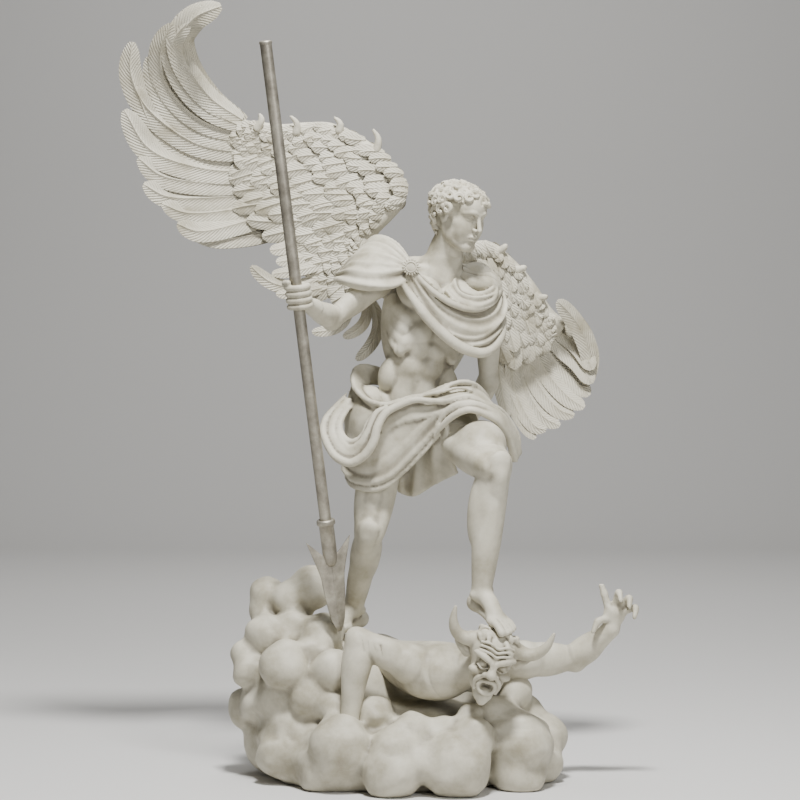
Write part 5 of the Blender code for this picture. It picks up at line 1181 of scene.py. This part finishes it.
leftTrail = [at(0.3, 0.23, 1.8), at(0.33, 0.24, 1.74), at(0.38, 0.25, 1.69), at(0.42, 0.265, 1.66),
    at(0.47, 0.28, 1.65), at(0.52, 0.295, 1.655), at(0.57, 0.305, 1.68), at(0.61, 0.315, 1.71),
    at(0.64, 0.32, 1.745)]


def makeWing(name, edge, trail, flight, curl, look):
    rng = np.random.default_rng(look["seed"])
    front = at(0, -1, 0)
    last = 400
    edges, trails = flow(edge, last + 1), flow(trail, last + 1)
    quills = []
    for n, (places, width) in enumerate(flight):
        path = [drawn(*place) + at(0, 0.007 * math.sin(n * 2.4), 0) for place in places]
        louvre = np.cross(unit(path[-1] - path[0]), front) * look["louvre"]
        quills.append((path, width, unit(front + louvre + rng.normal(size=3) * 0.04)))
        back = at(0, look["back"], 0)
        quills.append(([place + back for place in path[:-1]] + [mix(path[-2], path[-1], 0.9) + back],
            width * 0.95, at(0, 1, 0)))
    path = [drawn(*place) for place in curl]
    quills.append((path, look["curlWidth"], unit(front + at(0.35, 0, 0.15))))
    quills.append(([place + at(0.012, 0.02, 0) for place in path[:-1]], look["curlWidth"] * 0.8,
        at(0, 1, 0)))
    big = grow(name + "Flight", quills, steps=26, **{"Crown": 0.1, "Vane Thickness": 0.07,
        "Rachis Height": 0.13})
    coverts = []
    for row in range(look["rows"]):
        depth = row / look["rows"]
        number = look["columns"] - int(look["thinning"] * row)
        for column in range(number):
            share = (column + 0.5 * (row % 2) + 0.25 + rng.uniform(-0.15, 0.15)) / number
            spot = min(last, int(share * last))
            ahead = min(last, max(0, spot + int(last * look["slant"])))
            reach = look["reach"] / look["rows"] * rng.uniform(0.85, 1.25) * (0.55 + 0.85 * depth)
            start = mix(edges[spot], trails[spot], depth * 0.92 - 0.02)
            end = mix(edges[ahead], trails[ahead], depth * 0.92 - 0.02 + reach)
            lift = 0.022 - 0.008 * depth
            sway = np.cross(unit(end - start), front)
            long = np.linalg.norm(end - start)
            if long < 0.028:
                continue
            end = end + sway * rng.uniform(-0.17, 0.17) * long
            bend = sway * rng.uniform(-0.006, 0.006)
            middle = mix(start, end, 0.5) - at(0, lift * 0.95, 0) + bend
            tip = end - at(0, lift * 1.3, 0) + rng.normal(size=3) * 0.004
            width = (0.019 + 0.0145 * depth) * rng.uniform(0.9, 1.12) * look["covert"]
            facing = unit(front + rng.normal(size=3) * 0.05)
            coverts.append(([start - at(0, lift * 0.3, 0), middle, tip], width, facing))
            if row % 2 == 0 and column % 2 == 0:
                back = at(0, look["back"] + 0.016, 0)
                path = [start + back, mix(start, end, 0.5) + back * 1.2, mix(start, end, 1.4) + back
                    * 0.9]
                coverts.append((path, 0.04, at(0, 1, 0)))
    small = grow(name + "Coverts", coverts, steps=10, **{"Crown": 0.12, "Vane Thickness": 0.1,
        "Rachis Height": 0.12})
    both = bmesh.new()
    both.from_mesh(big)
    both.from_mesh(small)
    whole = bpy.data.meshes.new(name)
    both.to_mesh(whole)
    both.free()
    whole.materials.clear()
    whole.materials.append(finishes["feather"])
    whole.polygons.foreach_set("material_index", np.zeros(len(whole.polygons), np.int32))
    settle(featherPiece(name + "Feathers", whole), "stone", "archangel_group")
    # the arm of the wing and the web that the feathers grow from
    parts = []
    for inward in (0.05, 0.3, 0.6):
        path = [mix(edges[int(s * last)], trails[int(s * last)], inward) + at(0, 0.016, 0)
            for s in np.linspace(0, 1, 13)]
        parts.append(tube(path, 0.034 - 0.012 * inward, 0.034 - 0.012 * inward, steps=5, sides=16))
    web = [[mix(a, b, share) + at(0, 0.012, 0) for a, b in zip(flow(edge, 20), flow(trail, 20))]
        for share in (0.0, 0.5, 1.0)]
    parts.append(drape(web, hem=0, wall=0.035, along=80, across=30))
    for path, widths in look["roots"]:
        parts.append(tube(path, widths, steps=6, sides=20))
    for root, tip in look["hooks"]:
        middle = mix(root, tip, 0.5) + at(0.016, -0.006, -0.004)
        parts.append(tube([root + at(0, 0, -0.02), middle, tip], [0.02, 0.014, 0.007], sides=12))
    settle(melted(name + "Arm", parts, 0.0075, smooth=2), "stone", "archangel_group")


rightWing = dict(seed=5, rows=8, columns=30, thinning=1.4, slant=0.025, reach=1.75, back=0.04,
    louvre=0.24, curlWidth=0.058, covert=1.12, roots=[([trunk(-0.07, 0.1, 0.1), at(-0.08, 0.165, 1.95),
    at(-0.125, 0.195, 2.06)], [0.06, 0.058, 0.05])],
    hooks=[(at(-0.575, 0.19, 2.565), at(-0.56, 0.17, 2.612)),
    (at(-0.415, 0.2, 2.55), at(-0.44, 0.18, 2.605)), (at(-0.245, 0.2, 2.555), at(-0.265, 0.18, 2.6)),
    (at(-0.095, 0.19, 2.48), at(-0.11, 0.17, 2.55))])
leftWing = dict(seed=9, rows=7, columns=21, thinning=1.0, slant=0.03, reach=1.75, back=0.04, louvre=-0.24,
    curlWidth=0.042, covert=1.02, roots=[([trunk(0.07, 0.1, 0.08), at(0.29, 0.2, 1.9),
    at(0.275, 0.185, 2.02)], [0.06, 0.056, 0.046])],
    hooks=[(at(0.385, 0.21, 2.075), at(0.42, 0.19, 2.095)), (at(0.46, 0.23, 2.005), at(0.505, 0.21, 2.0)),
    (at(0.545, 0.27, 1.895), at(0.59, 0.24, 1.88))])


# The demon under the foot
demonHead = at(0.338, -0.385, 0.5)
demonNeck = at(0.25, -0.27, 0.455)
demonChest = at(0.13, -0.165, 0.435)
demonLoins = at(-0.02, 0.12, 0.44)
demonHips = at(-0.09, 0.29, 0.43)
demonShoulderR, demonShoulderL = at(0.075, -0.245, 0.455), at(0.43, -0.13, 0.47)
demonElbowR, demonElbowL = at(-0.155, -0.29, 0.56), at(0.68, -0.02, 0.465)
demonWristR, demonWristL = at(-0.19, -0.3, 0.27), at(0.815, -0.09, 0.585)
demonTurn = np.array(Matrix.Rotation(math.radians(6), 3, "Z") @ Matrix.Rotation(math.radians(16), 3, "Y")
    @ Matrix.Rotation(math.radians(14), 3, "X"))
demon = dict(bodyGrain=0.0064, headGrain=0.0036, ribs=5, teeth=6, toothGap=0.0066, locks=26)


def makeDemonBody():
    clay = Clay((-0.32, -0.42, 0.14), (0.94, 0.52, 0.76), demon["bodyGrain"])
    up = at(0, 0, 1)
    clay.rope([demonHips, demonLoins, demonChest, mix(demonChest, demonNeck, 0.5), demonNeck,
        demonHead + at(0, 0.05, 0)], [0.125, 0.108, 0.158, 0.118, 0.066, 0.06],
        [0.095, 0.08, 0.112, 0.098, 0.064, 0.06], up, 0.02)
    for shoulder in (demonShoulderR, demonShoulderL):
        clay.egg(mix(demonChest, shoulder, 0.58) + at(0, -0.035, -0.05), (0.08, 0.062, 0.056), melt=0.016)
        clay.egg(mix(demonChest, shoulder, 0.6) + at(0, 0.03, 0.045), (0.08, 0.075, 0.05), melt=0.02)
        clay.egg(shoulder, 0.062, melt=0.02)
    for rib in range(demon["ribs"]):
        middle = mix(demonChest, demonLoins, 0.1 + 0.15 * rib) + at(-0.02, -0.1, -0.035)
        clay.muscle(middle + at(-0.05, 0.04, 0.045), middle + at(0.06, -0.03, -0.02), 0.012, 0.014,
            at(0, -1, 0), melt=0.012)
    carveArm(clay, demonShoulderR, demonElbowR, demonWristR, unit(at(-0.6, 0, 0.8)), 1.34, 0.009)
    clay.rope([demonWristR, demonWristR + at(-0.01, -0.02, -0.07)], [0.03, 0.045], melt=0.014)
    clay.rope([mix(demonChest, demonShoulderL, 0.4), demonShoulderL], [0.075, 0.06], melt=0.02)
    carveArm(clay, demonShoulderL, demonElbowL, demonWristL, unit(at(0.2, 0.3, -0.9)), 1.3, 0.009)
    palm = demonWristL + at(0.012, -0.012, 0.06)
    clay.rope([demonWristL, palm], [0.027, 0.036], [0.024, 0.022], melt=0.014)
    clay.egg(palm, (0.042, 0.022, 0.044), melt=0.012)
    fingers = (((-0.026, 0, 0.03), (-0.04, -0.006, 0.078), (-0.056, -0.01, 0.128)), ((0.004, 0, 0.04),
        (0.014, -0.026, 0.084), (0.018, -0.062, 0.058)), ((0.028, 0, 0.034), (0.054, -0.022, 0.062),
        (0.052, -0.055, 0.032)), ((0.042, 0, 0.012), (0.078, -0.018, 0.024), (0.072, -0.046, -0.01)),
        ((-0.034, -0.005, -0.018), (-0.066, -0.02, -0.028), (-0.085, -0.03, -0.066)))
    for joints in fingers:
        path = [palm + at(*joint) for joint in joints]
        clay.rope(path, [0.015, 0.0135, 0.0095], melt=0.008)
        clay.egg(path[1], 0.015, melt=0.006)
    for n in range(4):
        knuckle = palm + at(-0.026 + 0.022 * n, -0.014, 0.03 - 0.004 * n)
        root = mix(palm, knuckle, 0.2) + at(0, -0.016, 0)
        clay.rope([root, palm + at(-0.026 + 0.022 * n, -0.014, 0.028 - 0.006 * n)], [0.005, 0.006],
            melt=0.008)
    for n in range(4):
        bend = mix(demonElbowR, demonShoulderR, 0.1 + 0.1 * n)
        clay.rope([bend + at(-0.01, -0.055, 0.03), bend + at(0.0, -0.06, -0.02)], 0.005, melt=0.008,
            hollow=True)
    for way in (-1, 1):
        knee = demonHips + at(-0.12 + 0.2 * way, 0.14, -0.16)
        clay.rope([demonHips, knee], [0.085, 0.068], melt=0.02)
    settle(clay.mesh("demonBody"), "stone", "archangel_group")


def makeDemonHead():
    clay = Clay((-0.22, -0.15, -0.19), (0.22, 0.15, 0.25), demon["headGrain"])
    clay.eggs(((0, 0.015, 0.045), (0.078, 0.088, 0.076), 0.02),
        ((0, -0.022, -0.04), (0.058, 0.058, 0.09), 0.03), ((0, -0.05, -0.118), (0.03, 0.03, 0.03), 0.016),
        ((0, -0.07, -0.132), (0.016, 0.016, 0.022), 0.01))
    clay.rope([at(0, -0.075, 0.03), at(0, -0.092, -0.002), at(0, -0.104, -0.022)], [0.014, 0.013, 0.017],
        melt=0.01)
    for side in (-1, 1):
        clay.rope(beside(side, (0.008, -0.088, 0.014), (0.03, -0.084, 0.034), (0.06, -0.06, 0.04)),
            [0.012, 0.013, 0.009], melt=0.008)
        clay.egg(at(side * 0.031, -0.092, 0.006), (0.019, 0.018, 0.014), melt=0.008, hollow=True)
        clay.egg(at(side * 0.031, -0.066, 0.006), 0.014, melt=0.002)
        clay.rope(beside(side, (0.014, -0.08, -0.004), (0.032, -0.083, -0.01), (0.048, -0.07, 0.0)),
            0.0035, melt=0.004)
        clay.eggs(((0.046, -0.052, -0.03), (0.022, 0.022, 0.018), 0.01),
            ((0.015, -0.092, -0.026), (0.011, 0.012, 0.01), 0.006), side=side)
        clay.rope(beside(side, (0.02, -0.09, -0.03), (0.038, -0.072, -0.06), (0.034, -0.068, -0.096)),
            [0.006, 0.008, 0.006], melt=0.008)
        clay.rope(beside(side, (0.058, 0.008, 0.066), (0.095, 0.002, 0.058), (0.128, -0.004, 0.072),
            (0.152, -0.012, 0.115), (0.16, -0.018, 0.172)), [0.03, 0.026, 0.021, 0.014, 0.005], melt=0.01)
        clay.rope(beside(side, (0.072, 0.01, 0.0), (0.105, 0.016, 0.026), (0.128, 0.02, 0.046)),
            [0.02, 0.015, 0.004], [0.01, 0.008, 0.004], at(0, -1, 0), melt=0.008)
        clay.rope(beside(side, (0.08, -0.002, 0.004), (0.112, 0.006, 0.032)), 0.0055, melt=0.004,
            hollow=True)
        for n in range(3):
            clay.rope(beside(side, (0.004, -0.086 + 0.006 * n, 0.046 + 0.015 * n),
                (0.026, -0.084 + 0.008 * n, 0.056 + 0.015 * n),
                (0.052, -0.06 + 0.006 * n, 0.052 + 0.013 * n)), 0.0052, melt=0.005)
        clay.rope(beside(side, (0.007, -0.1, 0.004), (0.006, -0.096, 0.026)), 0.004, melt=0.003)
        clay.egg(at(side * 0.007, -0.113, -0.032), (0.004, 0.006, 0.004), melt=0.002, hollow=True)
    clay.egg(at(0, -0.086, -0.076), (0.024, 0.03, 0.024), melt=0.006, hollow=True)
    ring = np.linspace(0, 2 * math.pi, 17)
    clay.rope([at(0.027 * math.sin(t), -0.086 + 0.006 * abs(math.sin(t)), -0.076 + 0.026 * math.cos(t))
        for t in ring], 0.0062, melt=0.005, count=33)
    for n in range(demon["teeth"]):
        x = (n - (demon["teeth"] - 1) / 2) * demon["toothGap"]
        clay.egg(at(x, -0.083 + abs(x) * 0.3, -0.059), (0.0034, 0.0034, 0.0062), melt=0.0015)
    clay.egg(at(0, -0.07, -0.092), (0.014, 0.02, 0.007), melt=0.004)
    rng = np.random.default_rng(12)
    for _ in range(demon["locks"]):
        turn = rng.uniform(0.35, 2 * math.pi - 0.35)
        high = rng.uniform(0.3, 0.95)
        flat = math.sqrt(1 - high * high)
        way = at(flat * math.sin(turn), -flat * math.cos(turn), high)
        spot = at(0, 0.018, 0.045) + way * at(0.08, 0.09, 0.078)
        swing = unit(np.cross(way, rng.normal(size=3)))
        clay.rope([spot, spot + way * 0.006 + swing * 0.016, spot + way * 0.003 + swing * 0.032
            - at(0, 0, 0.006)], [0.0085, 0.008, 0.0035], melt=0.005)
    settle(clay.mesh("demonHead", (demonTurn * at(1.2, 1.08, 1.0), demonHead)), "stone",
        "archangel_group")


clouding = dict(grain=0.0118, scoop=0.008)
clouds = [(-0.525, 0.1, 0.7, 0.075), (-0.345, 0.05, 0.735, 0.088), (-0.43, 0.03, 0.7, 0.068),
    (-0.535, 0.08, 0.64, 0.06), (-0.42, 0.06, 0.64, 0.075), (-0.52, 0.0, 0.555, 0.085),
    (-0.42, -0.02, 0.57, 0.075), (-0.3, -0.06, 0.56, 0.085), (-0.595, 0.0, 0.475, 0.066),
    (-0.575, -0.04, 0.41, 0.07), (-0.445, -0.16, 0.455, 0.098), (-0.26, -0.2, 0.44, 0.078),
    (-0.33, -0.12, 0.5, 0.07), (-0.6, 0.06, 0.26, 0.078), (-0.53, -0.02, 0.29, 0.09),
    (-0.44, -0.06, 0.31, 0.13), (-0.345, -0.17, 0.335, 0.08), (-0.25, -0.21, 0.3, 0.066),
    (-0.4, -0.05, 0.18, 0.16), (-0.465, -0.16, 0.11, 0.085), (-0.5, 0.06, 0.13, 0.12),
    (-0.225, -0.335, 0.175, 0.12), (-0.25, -0.24, 0.08, 0.14), (-0.095, -0.25, 0.285, 0.072),
    (-0.02, -0.4, 0.085, 0.112), (-0.02, -0.38, 0.18, 0.08), (0.055, -0.33, 0.215, 0.085),
    (0.155, -0.31, 0.21, 0.078), (0.095, -0.4, 0.12, 0.075), (0.21, -0.39, 0.105, 0.13),
    (0.275, -0.36, 0.21, 0.08), (0.262, -0.3, 0.285, 0.045), (0.45, -0.25, 0.165, 0.13),
    (0.45, -0.26, 0.06, 0.105), (0.555, -0.07, 0.165, 0.095), (0.535, -0.12, 0.075, 0.09),
    (0.44, -0.11, 0.34, 0.075), (0.48, -0.05, 0.27, 0.07), (0.36, -0.2, 0.25, 0.1),
    (0.5, 0.12, 0.12, 0.13), (0.4, 0.27, 0.13, 0.14), (0.24, 0.36, 0.14, 0.145), (0.08, 0.4, 0.18, 0.15),
    (-0.1, 0.42, 0.17, 0.155), (-0.27, 0.37, 0.18, 0.15), (-0.42, 0.24, 0.19, 0.15),
    (0.33, 0.14, 0.26, 0.12), (0.18, 0.22, 0.3, 0.12), (-0.26, 0.26, 0.4, 0.13), (-0.4, 0.14, 0.42, 0.12),
    (-0.12, 0.42, 0.33, 0.11), (-0.2, 0.13, 0.44, 0.11), (0.04, 0.06, 0.3, 0.14),
    (-0.27, 0.03, 0.47, 0.07)]


def makeClouds():
    clay = Clay((-0.72, -0.56, -0.03), (0.7, 0.62, 0.87), clouding["grain"])
    clay.eggs(((-0.02, 0.0, 0.1), (0.52, 0.4, 0.22), 0.02),
        ((-0.25, 0.05, 0.25), (0.28, 0.26, 0.24), 0.02))
    rng = np.random.default_rng(31)
    for x, y, z, radius in clouds:
        lean = unit(rng.normal(size=3) * at(1, 1, 0.6))
        stretch = rng.uniform(1.0, 1.1)
        clay.egg(at(x, y, z), (radius * 0.98, radius * 0.96, radius * stretch), lean, None, 0.03)
        way = unit(rng.normal(size=3) + at(0, -1.1, 0.35))
        if radius > 0.07:
            for turn in (-1, 1):
                other = unit(way + turn * unit(np.cross(way, lean)) * rng.uniform(0.6, 1.0))
                clay.egg(at(x, y, z) + other * radius * 0.42, radius * 0.6, melt=0.025)
    x, y, z = (clay.low[k] + clay.grain * np.arange(clay.count[k]) for k in range(3))
    x, y, z = x[:, None, None], y[None, :, None], z[None, None, :]
    bend = 0.35 * np.sin(11 * x + 2) * np.cos(13 * z + 1) + 0.3 * np.sin(9 * y + 12 * z)
    first = np.sin(21 * x + 9 * y + 3 * bend + 1.3) * np.sin(23 * z + 7 * x + 2 * bend)
    second = np.sin(17 * y + 19 * z - 11 * x + 2.1 + 3 * bend)
    ridged = np.abs(first) + 0.8 * np.abs(second)
    clay.field += (clouding["scoop"] * (ridged - 0.75)).astype(np.float32)
    # flat underside
    clay.field = np.maximum(clay.field, (0.0005 - z).astype(np.float32))
    settle(clay.mesh("cloudBank", smooth=2), "stone", "archangel_group")


def lathe(profile, sides=48):
    side, out, up = squareUp(lanceAxis, at(0.25, -1, 0))
    rings, faces = [], []
    turn = np.linspace(0, 2 * math.pi, sides, endpoint=False)[:, None]
    for radius, height in profile:
        centre = lancePoint + up * height
        rings.append(centre + (side * np.cos(turn) + out * np.sin(turn)) * max(radius, 1e-4))
    points = np.vstack(rings)
    k = np.arange(sides)
    after = (k + 1) % sides
    for i in range(len(profile) - 1):
        faces.append(np.column_stack([i * sides + k, (i + 1) * sides + k, (i + 1) * sides + after,
            i * sides + after]))
    return points, np.vstack(faces)


shaftFoot = lance["headLength"] * 0.93


def makeLance():
    r = lance["shaftDiameter"] / 2
    low, high = shaftFoot, shaftFoot + lance["shaftLength"]
    rim = r + lance["rimWall"]
    body = [(r, h) for h in np.linspace(high - 0.016, low, 30)]
    shaft = lathe([(0, high), (r * 0.8, high), (rim - 0.001, high - 0.002), (rim, high - 0.006),
        (rim, high - 0.01), (r, high - 0.014)] + body + [(0, low)])
    piece = skin("lanceShaft", *shaft, "lance_metal")
    settle(piece, "lance_metal", "lance_shaft")
    outer = r + lance["socketGap"] + lance["socketWall"]
    top = shaftFoot + lance["socketDepth"]
    collar = outer + lance["collarWall"]
    foot = lance["headLength"] * 0.7
    socket = lathe([(r + lance["socketGap"], top - 0.004), (outer - 0.001, top),
        (outer + 0.001, top - 0.0005), (collar - 0.002, top - 0.003), (collar, top - 0.006),
        (collar, top - lance["collarLength"] + 0.003), (collar - 0.003, top - lance["collarLength"]),
        (outer, top - lance["collarLength"] - 0.003), (outer * 0.99, lance["headLength"] * 0.86),
        (outer * 0.94, lance["headLength"] * 0.8), (outer * 0.74, lance["headLength"] * 0.73),
        (outer * 0.5, foot), (0, foot)])
    # the blade: a ridged plate whose barbs sweep up on both sides
    side, out, up = squareUp(lanceAxis, at(0.25, -1, 0))
    long, span, half = lance["headLength"], lance["barbSpan"], lance["bladeThickness"] / 2
    outline = flow(np.array([(lance["pointWidth"] / 2, 0), (0.026, long * 0.14), (0.04, long * 0.4),
        (0.047, long * 0.6), (span * 0.38, long * 0.8), (span / 2 - 0.001, long * 0.99)]), 41)
    inner = flow(np.array([(span / 2 - 0.004, long * 0.985), (span * 0.3, long * 0.895),
        (span * 0.17, long * 0.83), (0.0, long * 0.78)]), 21)
    parts = [socket]
    across, edge, broadest, notch = 13, 0.0016, 0.047, long * 0.78
    for way in (-1, 1):
        rows = []
        for i, (x, z) in enumerate(outline):
            start = at(0, z)
            if z > notch:
                share = (z - notch) / (long * 0.205)
                k = min(len(inner) - 1, int(round((1 - min(1.0, share)) * (len(inner) - 1))))
                start = inner[k]
            for t in np.linspace(0, 1, across):
                rows.append((*(start + (at(x, z) - start) * t), i / len(outline)))
        rows = np.array(rows)
        outward = np.clip(1 - np.abs(rows[:, 0]) / broadest * 0.95, 0, 1)
        fromPoint = np.clip(rows[:, 2] * 9 + 0.35, 0, 1)
        thick = np.maximum(edge + (half - edge) * outward * fromPoint, 0.0022)[:, None]
        base = lancePoint + side * (rows[:, :1] * way) + up * rows[:, 1:2]
        grid = (len(outline), across, 3)
        parts.append(shell((base + out * thick).reshape(grid), (base - out * thick).reshape(grid)))
    settle(joined("lanceHead", parts, "lance_metal"), "lance_metal", "lance_head")


stage("carving the archangel")
makeBody()
makeHead()
makeFist()
stage("draping the cloth")
makeMantle()
makeBrooch()
makeHipCloth()
stage("growing the wings")
makeWing("rightWing", rightEdge, rightTrail, rightFlight, rightCurl, rightWing)
makeWing("leftWing", leftEdge, leftTrail, leftFlight, leftCurl, leftWing)
stage("carving the demon and the clouds")
makeDemonBody()
makeDemonHead()
makeClouds()
stage("turning the lance")
makeLance()


# Floor, lights and camera
studio = dict(skyLight=0.11, lens=98, sensor=36, front=-34.0, halfWidth=34.0, bend=4.0, wall=17.0,
    top=22.0)
# place, width, power and what it lights
lamps = [((0.2, -2.9, 6.7), 1.0, 860, (0, 0, 1.4)), ((2.6, -5.8, 3.3), 1.6, 175, (0.1, 0, 1.7)),
    ((0.0, 2.6, 8.5), 6.0, 300, (0, 4.5, 0.0)), ((0.0, 8.0, 9.5), 8.0, 520, (0, 17.0, 2.0))]


def makeStudio():
    for place, width, power, aim in lamps:
        lamp = bpy.data.lights.new("softbox", "AREA")
        lamp.shape = "DISK"
        lamp.size = width
        lamp.energy = power
        holder = newObject("softbox", lamp)
        holder.location = place
        holder.rotation_euler = Vector(at(*aim) - at(*place)).to_track_quat("-Z", "Y").to_euler()
    world = bpy.data.worlds.new("studio")
    world.use_nodes = True
    sky = world.node_tree.nodes["Background"].inputs
    sky[0].default_value = (0.8, 0.8, 0.79, 1)
    sky[1].default_value = studio["skyLight"]
    bpy.context.scene.world = world
    # a floor that bends up into a backdrop, far enough back to walk round the group
    bend, start = studio["bend"], studio["wall"] - studio["bend"]
    side = [(studio["front"], 0.0), (start, 0.0)]
    side += [(start + bend * math.sin(t), bend - bend * math.cos(t))
        for t in np.linspace(0.1, math.pi / 2, 14)]
    side.append((studio["wall"], studio["top"]))
    points = [(x, y, z) for y, z in side for x in (-studio["halfWidth"], studio["halfWidth"])]
    floorMesh = bpy.data.meshes.new("floor")
    floorMesh.from_pydata(points, [], [(2 * k, 2 * k + 1, 2 * k + 3, 2 * k + 2)
        for k in range(len(side) - 1)])
    floorMesh.polygons.foreach_set("use_smooth", [True] * (len(side) - 1))
    floor = newObject("studioFloor", floorMesh)
    paint = bpy.data.materials.new("paleFloor")
    paint.use_nodes = True
    coat = paint.node_tree.nodes["Principled BSDF"].inputs
    coat["Base Color"].default_value = (0.62, 0.61, 0.59, 1)
    coat["Roughness"].default_value = 0.8
    floorMesh.materials.append(paint)
    lens = bpy.data.cameras.new("view")
    lens.lens = studio["lens"]
    lens.sensor_width = studio["sensor"]
    eye = newObject("view", lens)
    eye.location = (0, -drawing["eyeDistance"], drawing["eyeHeight"])
    eye.rotation_euler = (math.radians(90), 0, 0)
    bpy.context.scene.camera = eye


makeStudio()
